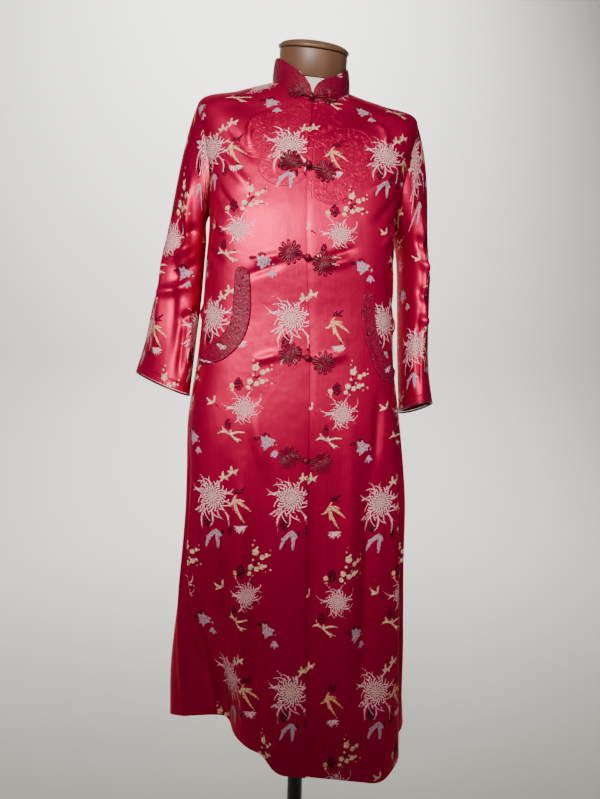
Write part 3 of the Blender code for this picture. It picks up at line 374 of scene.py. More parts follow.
class LongCoatColours(bpy.types.PropertyGroup):
    """The colours of the coat, its form and the studio."""
    ground: colour("Satin", "The brocade's crimson satin ground", "#B00A40")
    quilted: colour("Quilted satin", "The collar and pocket bands", "#6E0628")
    cord: colour("Cord satin", "The frogs, their knots and the bindings", "#640622")
    pink: colour("Pink weft", "The chrysanthemums", "#F0BCC4")
    cream: colour("Cream weft", "The small blossoms and lilies", "#E2C6A4")
    gold: colour("Gold weft", "The bamboo blades", "#DDB383")
    dark: colour("Dark weft", "Leaves and twigs", "#300A18")
    grey: colour("Grey weft", "Leaves and peonies", "#AC99A8")
    jersey: colour("Jersey", "The dress form's cover", "#DDD6C8")
    walnut: colour("Walnut", "The neck block and lid", "#6A4A36")
    enamel: colour("Enamel", "The pole and the base", "#141415")
    backdrop: colour("Backdrop", "The studio's floor and wall", "#E4E2DE")


class LongCoatSizes(bpy.types.PropertyGroup):
    """Sizes of the coat's sewing that the cutter's pattern leaves open."""
    cord: FloatProperty(name="Cord", description="Thickness of the frogs' rouleau cord",
                        default=0.0024, min=0.001, max=0.004, unit="LENGTH")
    crease: FloatProperty(name="Creases", description="How deep the soft creases are, as a share",
                          default=2.4, min=0.0, max=3.0, subtype="FACTOR")
    quilting: FloatProperty(name="Quilting", description="How far the fine quilting stands out",
                            default=0.0009, min=0.0, max=0.0012, unit="LENGTH")


def settings():
    """The scene's colours and sizes."""
    return bpy.context.scene.long_coat_colours, bpy.context.scene.long_coat_sizes


# The coat's form

def smooth(xs, ys, x):
    """The smooth curve through the points (xs, ys), read at x: a cubic between each two."""
    xs, ys = np.asarray(xs, float), np.asarray(ys, float)
    slope = np.gradient(ys, xs)
    x = np.clip(np.asarray(x, float), xs[0], xs[-1])
    i = np.clip(np.searchsorted(xs, x) - 1, 0, len(xs) - 2)
    step = xs[i + 1] - xs[i]
    t = (x - xs[i]) / step
    return (ys[i] * (1 + 2 * t) * (1 - t) ** 2 + slope[i] * step * t * (1 - t) ** 2
            + ys[i + 1] * t * t * (3 - 2 * t) + slope[i + 1] * step * t * t * (t - 1))


def ease(t):
    """From 0 at t = 0 to 1 at t = 1, level at both ends: t squared times 3 less 2 t."""
    t = np.clip(t, 0, 1)
    return t * t * (3 - 2 * t)


def unit(v):
    """Each vector at length one."""
    return v / np.linalg.norm(v, axis=-1, keepdims=True)


def between(a, b, count):
    """Even steps from a to b, with b left out."""
    return np.linspace(a, b, count + 1)[:-1]


def full_turn(count):
    """Even angles once round, from 0."""
    return 2 * np.pi * np.arange(count) / count


SECTION_U = np.concatenate([[0], np.cumsum(np.hypot(np.diff(SECTIONS[:, 4]), np.diff(SECTIONS[:, 0])))])
ARMPIT_U, SHOULDER_U, NECK_U = SECTION_U[ARMPIT_SECTION], SECTION_U[SHOULDER_SECTION], SECTION_U[-1]
ARMHOLE_U, ARMHOLE_REACH = (ARMPIT_U + SHOULDER_U) / 2, (SHOULDER_U - ARMPIT_U) / 2


def section(u):
    """Each column of the section table, read at u."""
    return {name: smooth(SECTION_U, SECTIONS[:, i], u) for i, name in enumerate(SECTION_COLUMNS)}


def fold_depth(s, u):
    """How far the large folds push the cloth out: a bell across each fold, eased at its ends."""
    total = np.zeros(np.broadcast(s, u).shape)
    for row in FOLDS:
        f = dict(zip(FOLD_COLUMNS, row))
        along = np.clip((u - max(f["begins"], 0)) / (f["ends"] - max(f["begins"], 0)), 0, 1)
        angle = np.radians(f["foot_angle"] + (f["head_angle"] - f["foot_angle"]) * along)
        away = (s - angle + math.pi) % (2 * math.pi) - math.pi
        fade = ease((u - f["begins"]) / (f["full_from"] - f["begins"]))
        fade = fade * (1 - ease((u - f["full_to"]) / (f["ends"] - f["full_to"])))
        total = total + f["out"] * fade * np.exp(-((away / math.radians(f["width"])) ** 2))
    return total


def body(s, u, folds=True):
    """The coat's smooth outer surface: at each height a squared oval of the section's sizes."""
    s, u = np.broadcast_arrays(np.asarray(s, float), np.asarray(u, float))
    c = section(u)
    q = c["squareness"]
    depth = np.where(np.cos(s) > 0, c["front_depth"], c["back_depth"])
    side = c["half_width"] * (np.sin(s) + q * np.sin(3 * s)) / (1 - q)
    away = depth * (np.cos(s) - q * np.cos(3 * s)) / (1 - q)
    end_z = np.where(np.cos(s) > 0, c["front_z"], c["back_z"])
    z = c["side_z"] + (end_z - c["side_z"]) * np.cos(s) ** 2 + c["lean"] * side
    if folds:
        out = fold_depth(s, u)
        side, away = side + out * np.sin(s), away + out * np.cos(s)
        turned = np.degrees((s + math.pi) % (2 * math.pi) - math.pi)
        z = z + smooth(HEM[:, 0], HEM[:, 1], turned) * (1 - ease(u / HEM_REACH))
    return np.stack([c["centre_x"] + side, -away, z], -1)


def cloth(s, u, out=0.0, folds=True):
    """The coat's surface moved out along its normal, the cross of its two slopes."""
    s, u = np.broadcast_arrays(np.asarray(s, float), np.asarray(u, float))
    h = 1e-4
    low, high = np.maximum(u - h, 0), np.minimum(u + h, NECK_U)
    across = body(s + h, u, folds) - body(s - h, u, folds)
    up = body(s, high, folds) - body(s, low, folds)
    return body(s, u, folds) + unit(np.cross(across, up)) * np.asarray(out, float)[..., None]


def ridge(x, y, ax, ay, bx, by, half_width, out, fade):
    """A soft ridge along the line from a to b: a bell across it, eased in at both ends."""
    length = math.hypot(bx - ax, by - ay)
    way_x, way_y = (bx - ax) / length, (by - ay) / length
    along = ((x - ax) * way_x + (y - ay) * way_y) / length
    away = (x - ax) * way_y - (y - ay) * way_x
    inside = ease(along / fade) * ease((1 - along) / fade)
    return out * inside * np.exp(-((away / half_width) ** 2))


def crease_depth(s, u):
    """How far the soft creases move the cloth out. They fade out at the armholes and the neck."""
    s, u = np.broadcast_arrays(np.asarray(s, float), np.asarray(u, float))
    s = (s + math.pi) % (2 * math.pi) - math.pi
    around = section(u)["half_width"] * ARC_SHARE
    total = np.zeros(s.shape)
    for row in CREASES:
        c = dict(zip(CREASE_COLUMNS, row))
        ax, bx = math.radians(c["angle_a"]), math.radians(c["angle_b"])
        away = (s - (ax + bx) / 2 + math.pi) % (2 * math.pi) - math.pi
        mid = float(section((c["u_a"] + c["u_b"]) / 2)["half_width"]) * ARC_SHARE
        total += ridge(away * around, u, (ax - bx) / 2 * mid, c["u_a"], (bx - ax) / 2 * mid, c["u_b"],
                       c["half_width"] / 1000, c["out"] / 1000, c["fade"])
    round_arm = np.hypot((u - ARMHOLE_U) / ARMHOLE_REACH, (np.abs(s) - math.pi / 2) / ARMHOLE_SPREAD)
    clear = ease((round_arm - 1.0) / 0.45) * ease((NECK_U - u - 0.004) / 0.05)
    room = smooth(FORM_INSET[:, 0], FORM_INSET[:, 1], u) - WALL - CREASE_CLEARANCE
    return np.maximum(total * clear * settings()[1].crease, -room)


def worn(s, u, out=0.0):
    """The coat's creased surface, moved out."""
    return cloth(s, u, np.asarray(out, float) + crease_depth(s, u))


def edge_angle(u):
    """The angle s of the closing edge at height u."""
    c = section(u)
    x = smooth(EDGE[:, 0], EDGE[:, 1], c["front_z"])
    return np.arcsin((x - c["centre_x"]) / c["half_width"] / (1 + 2 * c["squareness"]))


def turn_of(length, u):
    """The angle that a length round the front makes at height u."""
    c = section(u)
    return length / c["half_width"] / (1 + 2 * c["squareness"])


def arm_height(phi, shrink=0.0):
    """The height u round the armhole: phi is 0 at the underarm and pi at the shoulder."""
    return ARMHOLE_U - (ARMHOLE_REACH - shrink) * np.cos(phi)


def side_angle(u, gap=SEAM_GAP / 2):
    """The front's side edge: the side seam, the armhole's oval, then the shoulder seam."""
    cut = ARMHOLE_SPREAD * np.sqrt(np.clip(1 - ((u - ARMHOLE_U) / ARMHOLE_REACH) ** 2, 0, 1))
    return math.pi / 2 - cut - gap / section(u)["front_depth"]


def panel_rows(below, beside, above):
    """The rows of a panel: even up to the armpit, close at the armhole's ends, even to the neck."""
    arm = arm_height(np.pi * np.arange(beside + 1) / beside)
    return np.concatenate([between(0, ARMPIT_U, below), arm,
                           np.linspace(SHOULDER_U, NECK_U, above + 1)[1:]])


def overlap_rise(s, u):
    """The right front stands out where it laps over the left one."""
    away = np.abs(s - edge_angle(u)) * section(u)["half_width"]
    return OVERLAP_RISE * (1 - ease((away - UNDERLAP) / OVERLAP_REACH))


def sleeve_rings(side, phi):
    """The armhole's ring and those below it, and the way the sleeve leaves the armhole."""
    s = math.pi / 2 - (ARMHOLE_SPREAD - SEAM_GAP / 0.11) * np.sin(phi)
    low = ease((np.cos(phi) + 1) / 2)
    rings = [cloth(side * s, arm_height(phi, SEAM_GAP), 0.0006 * low, folds=False)]
    for row in RINGS[side]:
        r = dict(zip(RING_COLUMNS, row))
        turn = math.radians(r["turn"])
        out = np.array([side * math.cos(turn), -math.sin(turn), 0])
        front = np.array([-side * math.sin(turn), -math.cos(turn), 0])
        flat, long = -r["half_flat"] * np.cos(phi), r["half_long"] * np.sin(phi)
        point = np.array([side * r["out"], r["y"], r["z"]]) + flat[:, None] * out + long[:, None] * front
        point[:, 2] += r["rise_out"] * flat + r["rise_front"] * long
        rings.append(point)
    high = (1 - np.cos(phi)) / 2
    leave = np.stack([side * (0.45 - 0.05 * high), 0 * phi, -1.0 + 0 * phi], -1)
    return np.array(rings), unit(leave)


def armhole_normal(side, phi):
    """The coat's outward normal round the armhole."""
    s, u = side * (math.pi / 2 - ARMHOLE_SPREAD * np.sin(phi)), arm_height(phi)
    return unit(cloth(s, u, 0.001, folds=False) - body(s, u, folds=False))


def sleeve(side, phi, t):
    """The sleeve's smooth surface: cubic curves down from the armhole through the rings."""
    rings, leave = sleeve_rings(side, phi)
    steps = np.linalg.norm(np.diff(rings, axis=0), axis=2)
    w = np.concatenate([[0], np.cumsum(steps.mean(1))])
    slope = np.gradient(rings, w, axis=0)
    slope[0] = leave * (steps[0] / w[1])[:, None]
    x = np.asarray(t, float) * w[-1]
    i = np.clip(np.searchsorted(w, x) - 1, 0, len(w) - 2)
    step = (w[i + 1] - w[i])[:, None, None]
    f = ((x - w[i]) / (w[i + 1] - w[i]))[:, None, None]
    return (rings[i] * (1 + 2 * f) * (1 - f) ** 2 + slope[i] * step * f * (1 - f) ** 2
            + rings[i + 1] * f * f * (3 - 2 * f) + slope[i + 1] * step * f * f * (f - 1))


def tube_normals(grid):
    """Outward normals of a tube given as a grid of rows and closed columns."""
    around = np.roll(grid, -1, 1) - np.roll(grid, 1, 1)
    normal = unit(np.cross(around, np.gradient(grid, axis=0)))
    middle = grid.mean(1, keepdims=True)
    return normal * np.sign(((grid - middle) * normal).sum((1, 2)))[:, None, None]


def sleeve_crease_depth(side, phi, t):
    """How far a sleeve's creases move it out, on the sleeve laid flat; inwards on the body's side."""
    radius, length = 0.052, 0.30
    phi, t = np.meshgrid(phi, t)
    total = np.zeros(phi.shape)
    for row in SLEEVE_CREASES[side]:
        c = dict(zip(SLEEVE_CREASE_COLUMNS, row))
        total += ridge(phi * radius, t * length, math.radians(c["phi_a"]) * radius, c["t_a"] * length,
                       math.radians(c["phi_b"]) * radius, c["t_b"] * length,
                       c["half_width"] / 1000, c["out"] / 1000, c["fade"])
    free = ease((1 - np.cos(phi)) / 1.2)
    total = np.where(total > 0, total * free, total)
    return total * ease((t - 0.03) / 0.12) * settings()[1].crease


def worn_sleeve(side, phi, t):
    """A sleeve's creased surface and its normals."""
    smooth_form = sleeve(side, phi, t)
    normal = tube_normals(smooth_form)
    grid = smooth_form + normal * sleeve_crease_depth(side, phi, t)[..., None]
    return grid, normal


def collar_point(s, h):
    """The collar's outer surface: straight up from the neck seam to the top edge, slightly bowed."""
    s, h = np.broadcast_arrays(np.asarray(s, float), np.asarray(h, float))
    away = unit(np.stack([np.sin(s), -np.cos(s), 0 * s], -1))
    foot = body(s, np.full(s.shape, NECK_U), folds=False) - away * 0.0004
    foot[..., 2] += SEAM_GAP + 0.0001
    depth = np.where(np.cos(s) > 0, COLLAR_TOP["front_depth"], COLLAR_TOP["back_depth"])
    height = np.where(np.cos(s) > 0, COLLAR_HEIGHT,
                      COLLAR_HEIGHT + (COLLAR_BACK_HEIGHT - COLLAR_HEIGHT) * np.cos(s) ** 2)
    top = np.stack([COLLAR_TOP["half_width"] * np.sin(s) - 0.0025, -depth * np.cos(s),
                    foot[..., 2] + height], -1)
    bow = 0.0012 * np.sin(np.pi * np.clip(h, 0, 1))
    return foot + (top - foot) * h[..., None] + away * bow[..., None]


def collar_reach(length):
    """The share of the collar's height at a length from its front end: a quarter round."""
    low = COLLAR_EDGE_HEIGHT / COLLAR_HEIGHT
    t = np.clip(length / COLLAR_CORNER, 0, 1)
    return low + (1 - low) * np.sqrt(1 - (1 - t) ** 2)


def on_front(x, z):
    """The (s, u) of the coat's front where it has this x and z, by Newton's steps."""
    x, z = np.broadcast_arrays(np.asarray(x, float), np.asarray(z, float))
    s, u = np.arcsin(np.clip((x + 0.012) / 0.19, -0.95, 0.95)), np.clip(z - 0.35, 0.01, 1.3)
    h = 1e-5
    for _ in range(14):
        p = body(s, u)
        ds, du = (body(s + h, u) - p) / h, (body(s, u + h) - p) / h
        ex, ez = x - p[..., 0], z - p[..., 2]
        det = ds[..., 0] * du[..., 2] - ds[..., 2] * du[..., 0]
        s = s + np.clip((ex * du[..., 2] - ez * du[..., 0]) / det, -0.3, 0.3)
        u = np.clip(u + np.clip((ez * ds[..., 0] - ex * ds[..., 2]) / det, -0.2, 0.2), 0, NECK_U - 0.0005)
    return s, u


def laid_on(x, z, out, front):
    """Points on the right or left front at x and z, moved out."""
    s, u = on_front(x, z)
    return worn(s, u, out + (overlap_rise(s, u) if front == "right" else 0.0))


def laid_at_neck(x, z, out, front):
    """Points at x and z, moved out: on the front below the neck seam, on the collar above it."""
    s = np.arcsin((x + 0.0025) / COLLAR_TOP["half_width"] * 0.95)
    for _ in range(6):
        foot, top = collar_point(s, 0.0), collar_point(s, 1.0)
        share = np.clip((z - foot[..., 2]) / (top[..., 2] - foot[..., 2]), 0, 1)
        s = s + (x - collar_point(s, share)[..., 0]) / COLLAR_TOP["half_width"] / np.cos(s)
    above = z - collar_point(s, 0.0)[..., 2]
    low, low_out = laid_on(x, z, 0.0, "left"), laid_on(x, z, 0.001, "left")
    if front == "right":
        out = out + overlap_rise(*on_front(x, z)) * (1 - ease((above - 0.002) / (2 * NECK_BLEND)))
    level = unit(np.stack([np.sin(s), -np.cos(s), 0 * s], -1))
    turn = ease(above / (2 * NECK_BLEND) + 0.5)[..., None]
    point = np.where(above[..., None] > 0, collar_point(s, share), low)
    point = point + level * 0.0004 * turn
    way = unit(unit(low_out - low) * (1 - turn) + level * turn)
    return point + way * (out + 0.0 * x)[..., None]


# Meshes

def grid_faces(rows, columns, start=0, closed=False, looped=False, back=False):
    """The faces between the points of a grid, as an array. Closed joins its last column to its
    first, looped joins its last row to its first, and back turns the faces over."""
    r = np.arange(rows if looped else rows - 1)[:, None]
    c = np.arange(columns if closed else columns - 1)[None]
    row, next_row, next_c = r * columns, (r + 1) % rows * columns, (c + 1) % columns
    faces = np.stack([row + c, row + next_c, next_row + next_c, next_row + c], -1).reshape(-1, 4) + start
    return faces[:, ::-1] if back else faces


def end_faces(rows, columns, start=0):
    """Triangles from a tube's first and last rings to the two middle points that follow them."""
    c = np.arange(columns)
    d = (c + 1) % columns
    last, middle = start + (rows - 1) * columns, 0 * c + start + rows * columns
    return np.concatenate([np.stack([start + d, start + c, middle], 1),
                           np.stack([last + c, last + d, middle + 1], 1)])


def with_middles(rings):
    """A tube's points, then the middle points of its two ends."""
    return np.concatenate([rings.reshape(-1, 3), rings[0].mean(0)[None], rings[-1].mean(0)[None]])


def piece(name, points, faces, material, charts=None, values=None, sharp=42):
    """One mesh object at the origin, its faces turned out, with its UV map and attributes."""
    mesh = bpy.data.meshes.new(name)
    mesh.from_pydata(np.asarray(points).reshape(-1, 3).tolist(), [],
                     [f for block in faces for f in np.asarray(block).tolist()])
    shape = bmesh.new()
    shape.from_mesh(mesh)
    if shape.calc_volume(signed=True) < 0:
        bmesh.ops.reverse_faces(shape, faces=shape.faces)
        shape.to_mesh(mesh)
    shape.free()
    corners = np.zeros(len(mesh.loops), np.int32)
    mesh.loops.foreach_get("vertex_index", corners)
    if charts is not None:
        layer = mesh.uv_layers.new(name="chart")
        layer.data.foreach_set("uv", np.asarray(charts, np.float32)[corners].ravel())
    for key, value in (values or {}).items():
        vector = np.ndim(value) == 2
        made = mesh.attributes.new(key, "FLOAT_VECTOR" if vector else "FLOAT", "POINT")
        made.data.foreach_set("vector" if vector else "value", np.asarray(value, np.float32).ravel())
    mesh.materials.append(material)
    mesh.shade_smooth()
    mesh.set_sharp_from_angle(angle=math.radians(sharp))
    mesh.validate()
    thing = bpy.data.objects.new(name, mesh)
    bpy.context.scene.collection.objects.link(thing)
    return thing


def rim_of(rows, columns):
    """The places of a grid's border, in order round it."""
    side, top = np.arange(rows), np.arange(1, columns)
    return np.concatenate([side * columns, (rows - 1) * columns + top,
                           side[::-1][1:] * columns + columns - 1, np.arange(columns - 2, 0, -1)])


def panel(name, outer, inner, material, chart, values):
    """A closed wall between a fine outer grid and an inner grid of every fourth row and column."""
    rows, columns = outer.shape[:2]
    inner = inner[::INNER_STEP, ::INNER_STEP]
    n = rows * columns
    front, behind = rim_of(rows, columns), rim_of(*inner.shape[:2]) + n
    front = np.append(front, front[0])
    count = len(behind)
    runs = np.arange(count)[:, None] * INNER_STEP + np.arange(INNER_STEP + 1)[None]
    rim = np.concatenate([front[runs], np.roll(behind, -1)[:, None], behind[:, None]], 1)
    faces = [grid_faces(rows, columns), grid_faces(*inner.shape[:2], start=n, back=True), rim]
    points = np.concatenate([outer.reshape(-1, 3), inner.reshape(-1, 3)])
    return piece(name, points, faces, material, *carried(chart, values, inner.shape[:2]))


def carried(chart, values, inside):
    """The chart and attributes of a wall's outer grid, carried to its plain inner grid."""
    if chart is None:
        return None, None
    plain = np.zeros((inside[0] * inside[1], 2))
    plain[:] = chart[::INNER_STEP, ::INNER_STEP].reshape(-1, 2)
    full = {key: np.concatenate([v.reshape(-1, *v.shape[2:]), np.full((len(plain), *v.shape[2:]), -FAR)])
            for key, v in (values or {}).items()}
    return np.concatenate([chart.reshape(-1, 2), plain]), full


def tube(name, outer, inner, material, chart, values):
    """A closed wall round a tube, its inner grid coarser by four both ways."""
    rows, columns = outer.shape[:2]
    inner = inner[::INNER_STEP, ::INNER_STEP]
    inside = inner.shape[:2]
    n = rows * columns
    faces = [grid_faces(rows, columns, closed=True), grid_faces(*inside, start=n, closed=True, back=True)]
    c = np.arange(inside[1])[:, None]
    for row, inner_row in ((0, 0), (rows - 1, inside[0] - 1)):
        run = row * columns + (c * INNER_STEP + np.arange(INNER_STEP + 1)[None]) % columns
        near = n + inner_row * inside[1] + c
        far = n + inner_row * inside[1] + (c + 1) % inside[1]
        rim = np.concatenate([run, far, near], 1)
        faces.append(rim if row else rim[:, ::-1])
    points = np.concatenate([outer.reshape(-1, 3), inner.reshape(-1, 3)])
    return piece(name, points, faces, material, *carried(chart, values, inside))


def capped(name, rings, material, sharp=42):
    """A solid through closed rings, with a point in the middle of each end."""
    rows, columns = rings.shape[:2]
    faces = [grid_faces(rows, columns, closed=True), end_faces(rows, columns)]
    return piece(name, with_middles(rings), faces, material, sharp=sharp)


def cord_rings(path, radius, closed=False):
    """Rings of a round cord along a path: each is square to the path, its first side kept level."""
    along = (np.roll(path, -1, 0) - np.roll(path, 1, 0)) if closed else np.gradient(path, axis=0)
    along = unit(along)
    side = unit(np.cross(along, np.array([0.31, 1.0, 0.17])))
    up = np.cross(side, along)
    turn = full_turn(CORD_SIDES)
    round_it = np.cos(turn)[None, :, None] * side[:, None] + np.sin(turn)[None, :, None] * up[:, None]
    return path[:, None] + round_it * radius


# The woven pattern

COLOURS = ("dark", "grey", "gold", "cream", "pink")
# In millimetres: a figure's soft edge, and the space between the quilting's channels.
THREAD, QUILT_PITCH = 0.7, 4.6
# A head's rings of petals: how many, from and to (the head's edge is 1), half width, twist and
# the share by which the petals' lengths differ.
PETAL_RING_COLUMNS = ("count", "inner", "outer", "half_width", "twist", "uneven")
PETAL_RINGS = (
    (9, 0.02, 0.42, 0.045, 2.2, 0.2), (15, 0.24, 0.80, 0.045, -0.9, 0.2),
    (23, 0.52, 1.16, 0.042, 0.5, 0.3), (19, 0.90, 1.72, 0.038, -0.32, 0.45),
)


def blade(x, y, a_x, a_y, b_x, b_y, half_width, bend):
    """How deep a point lies in a curved blade, in millimetres: the blade's half width, full in the
    middle and narrow at its ends, less the distance from its bent middle line."""
    length = max(math.hypot(b_x - a_x, b_y - a_y), 0.5)
    way_x, way_y = (b_x - a_x) / length, (b_y - a_y) / length
    along = (x - a_x) * way_x + (y - a_y) * way_y
    t = np.clip(along / length, 0, 1)
    away = -(x - a_x) * way_y + (y - a_y) * way_x - bend * 4 * t * (1 - t)
    past = along - t * length
    full = half_width * (0.30 + 0.70 * np.sin(math.pi * t ** 0.8) ** 0.7)
    return full - np.hypot(away, past)


def blossom(x, y, wide):
    """A small round blossom: a disc with five petals' waves round its edge."""
    r, angle = np.hypot(x, y), np.arctan2(y, x)
    return wide / 2 * (0.90 + 0.14 * np.cos(5 * angle)) - r


def multiples(low, high, pitch):
    """The whole numbers whose multiples of the pitch lie between low and high."""
    return range(math.ceil(low / pitch), math.floor(high / pitch) + 1)


class Weave:
    """The pattern's depth at every point of a panel, one array for each colour."""

    def __init__(self, x, y):
        """Takes the panel's chart, X and Y in millimetres at each point."""
        self.x, self.y = x, y
        self.depth = {name: np.full(x.shape, -FAR) for name in COLOURS}
        self.bloom = np.zeros(x.shape + (3,))

    def near(self, cx, cy, reach):
        """The points in the square round (cx, cy), and their places from its middle."""
        where = np.nonzero((np.abs(self.x - cx) < reach) & (np.abs(self.y - cy) < reach))
        return where, self.x[where] - cx, self.y[where] - cy

    def put(self, colour_name, where, depth):
        """Keeps the greater of a colour's depth so far and a new figure's."""
        kept = self.depth[colour_name]
        kept[where] = np.maximum(kept[where], depth)

    def group(self, kind, cx, cy):
        """One group round (cx, cy): its blades, a chrysanthemum's round chart, its blossoms."""
        rows, reach = BLADE_GROUPS[kind]
        where, x, y = self.near(cx, cy, reach)
        for row in rows:
            self.put(row[0], where, blade(x, y, *row[1:]))
        if kind in HEADS:
            radius = HEADS[kind]
            where, x, y = self.near(cx, cy, radius * HEAD_REACH)
            self.bloom[where] = np.stack([x / radius, y / radius, 0 * x + 1], -1)
        if kind == "small_bloom":
            for name, dx, dy, wide in BLOSSOMS:
                where, x, y = self.near(cx + dx, cy + dy, wide)
                self.put(name, where, blossom(x, y, wide))

    def weave(self, groups, bloom_x=0.0, bloom_y=0.0, wide=REPEAT_WIDE):
        """Every group over the whole panel: at its place from the bloom, plus whole repeats across
        and down. A width of 0 repeats it down only."""
        left, right = self.x.min() - bloom_x - BLOOM_REACH, self.x.max() - bloom_x + BLOOM_REACH
        low, high = self.y.min() - bloom_y - BLOOM_REACH, self.y.max() - bloom_y + BLOOM_REACH
        for kind, gx, gy in groups:
            for i in multiples(left - gx, right - gx, wide) if wide else (0,):
                for j in multiples(low - gy, high - gy, REPEAT_TALL):
                    self.group(kind, bloom_x + gx + i * wide, bloom_y + gy + j * REPEAT_TALL)
        return dict(self.depth, bloom=self.bloom)


def arc_lengths(grid, zero):
    """The length along each row of a grid, from the column zero, in millimetres."""
    steps = np.linalg.norm(np.diff(grid, axis=1), axis=2)
    length = np.concatenate([np.zeros((len(grid), 1)), np.cumsum(steps, 1)], 1) * 1000
    return length - length[:, zero:zero + 1]


def front_rows(grid, heights):
    """The chart's Y on a front: the heights of the rows of blooms, 300 apart, read at each point.
    Over the shoulder the length back counts too."""
    z = grid[..., 2] + 0.3 * (grid[..., 1] + 0.12) * ease((grid[..., 2] - 1.33) / 0.15)
    top = heights[0]
    known_z = np.array([heights[3] - 0.339, heights[3], heights[2], heights[1], top, top + 0.265])
    known_y = np.array([-1200.0, -900.0, -600.0, -300.0, 0.0, 300.0])
    return np.interp(z, known_z, known_y)


def yoke_depth(x, y):
    """How deep a point lies in the stitched yoke: the greatest of its round lobes' depths."""
    lobes = [r - np.hypot(x - cx, y - cy) for cx, cy, r in YOKE_LOBES]
    return np.clip(np.max(lobes, axis=0), -FAR, FAR)


def meander(x, y):
    """The fine quilting's height, from 0 in its channels to 1: the sine of a phase that wanders."""
    k = math.pi / QUILT_PITCH
    phase = 0.8 * k * x + 0.6 * k * y + 2.3 * np.sin(0.83 * k * y + 1.2 * np.sin(0.47 * k * x))
    phase = phase + 1.9 * np.sin(0.71 * k * x + 1.3 * np.sin(0.58 * k * y))
    return np.abs(np.sin(phase)) ** 0.7


# Materials

def add_node(tree, kind, inputs=None, **options):
    """One shader node with its options set, and each input given a value or linked to an output."""
    made = tree.nodes.new("ShaderNode" + kind)
    for key, value in options.items():
        setattr(made, key, value)
    for key, value in (inputs or {}).items():
        if isinstance(value, bpy.types.Node):
            value = value.outputs[0]
        if isinstance(value, bpy.types.NodeSocket):
            tree.links.new(value, made.inputs[key])
        else:
            made.inputs[key].default_value = value
    return made


def new_material(name, **values):
    """A named material with a Principled shader, whose constants sit on its own sockets."""
    material = bpy.data.materials.new(name)
    material.use_nodes = True
    tree = material.node_tree
    shader = tree.nodes["Principled BSDF"]
    for key, value in values.items():
        shader.inputs[key.replace("_", " ").title().replace("Ior", "IOR")].default_value = value
    return material, tree, shader


def shaded(tree, tone, shade, shader=None):
    """A colour times a shade, linked to the shader's base colour where one is given."""
    made = add_node(tree, "VectorMath", {0: tone, "Scale": shade}, operation="SCALE")
    if shader:
        tree.links.new(made.outputs[0], shader.inputs["Base Color"])
    return made


def inside_mask(tree, key):
    """1 inside a colour's outline and 0 outside, across a thread's width."""
    depth = add_node(tree, "Attribute", attribute_name=key)
    return add_node(tree, "MapRange", {"Value": depth.outputs["Fac"], "From Min": -THREAD / 2,
                                       "From Max": THREAD / 2})


def petal_ring(tree, angle, reach, count, inner, outer, half_width, twist, uneven):
    """1 on a ring's petals: each angle belongs to the nearest petal, and a petal is where the
    distance from its curved middle line is under its half width."""
    curl = add_node(tree, "Math", {0: reach, 1: 2.0}, operation="POWER")
    turned = add_node(tree, "Math", {0: curl, 1: twist, 2: angle}, operation="MULTIPLY_ADD")
    place = add_node(tree, "Math", {0: turned, 1: count / (2 * math.pi), 2: 0.37 * count},
                     operation="MULTIPLY_ADD")
    nearest = add_node(tree, "Math", {0: place}, operation="ROUND")
    away = add_node(tree, "Math", {0: place, 1: nearest}, operation="SUBTRACT")
    away = add_node(tree, "Math", {0: away}, operation="ABSOLUTE")
    away = add_node(tree, "Math", {0: away, 1: reach}, operation="MULTIPLY")
    away = add_node(tree, "Math", {0: away, 1: 2 * math.pi / count}, operation="MULTIPLY")
    which = add_node(tree, "Math", {0: nearest, 1: float(count)}, operation="FLOORED_MODULO")
    chance = add_node(tree, "TexWhiteNoise", {"W": which}, noise_dimensions="1D").outputs["Value"]
    end = add_node(tree, "Math", {0: chance, 1: -uneven * outer, 2: outer}, operation="MULTIPLY_ADD")
    within = add_node(tree, "Math", {0: end, 1: reach}, operation="GREATER_THAN")
    beyond = add_node(tree, "Math", {0: reach, 1: inner}, operation="GREATER_THAN")
    on_petal = add_node(tree, "MapRange", {"Value": away, "From Min": half_width * 0.7,
                                           "From Max": half_width * 1.3, "To Min": 1.0, "To Max": 0.0})
    both = add_node(tree, "Math", {0: within, 1: beyond}, operation="MULTIPLY")
    return add_node(tree, "Math", {0: on_petal, 1: both}, operation="MULTIPLY")


def stitch_lines(tree, chart):
    """1 on a stitched line and 0 beside it: the yoke's outline, the wandering lines 6 mm apart
    inside it, and the seams' rows of stitches."""
    yoke = add_node(tree, "Attribute", attribute_name="yoke").outputs["Fac"]
    inside = add_node(tree, "MapRange", {"Value": yoke, "From Min": 0.0, "From Max": 0.8})
    wander = add_node(tree, "TexNoise", {"Vector": chart, "Scale": 95.0, "Detail": 0.0,
                                         "Distortion": 0.6})
    line = add_node(tree, "Math", {0: wander.outputs["Fac"], 1: 9.0}, operation="MULTIPLY")
    line = add_node(tree, "Math", {0: line, 1: 1.0}, operation="PINGPONG")
    line = add_node(tree, "MapRange", {"Value": line, "From Min": 0.0, "From Max": 0.35, "To Min": 1.0,
                                       "To Max": 0.0})
    line = add_node(tree, "Math", {0: line, 1: inside}, operation="MULTIPLY")
    outline = add_node(tree, "Math", {0: yoke}, operation="ABSOLUTE")
    outline = add_node(tree, "MapRange", {"Value": outline, "From Min": 0.5, "From Max": 1.3,
                                          "To Min": 1.0, "To Max": 0.0})
    line = add_node(tree, "Math", {0: line, 1: outline}, operation="MAXIMUM")
    seam = add_node(tree, "Attribute", attribute_name="seam").outputs["Fac"]
    seam = add_node(tree, "MapRange", {"Value": seam, "From Min": 0.5, "From Max": 1.4, "To Min": 1.6,
                                       "To Max": 0.0})
    return add_node(tree, "Math", {0: line, 1: seam}, operation="MAXIMUM")


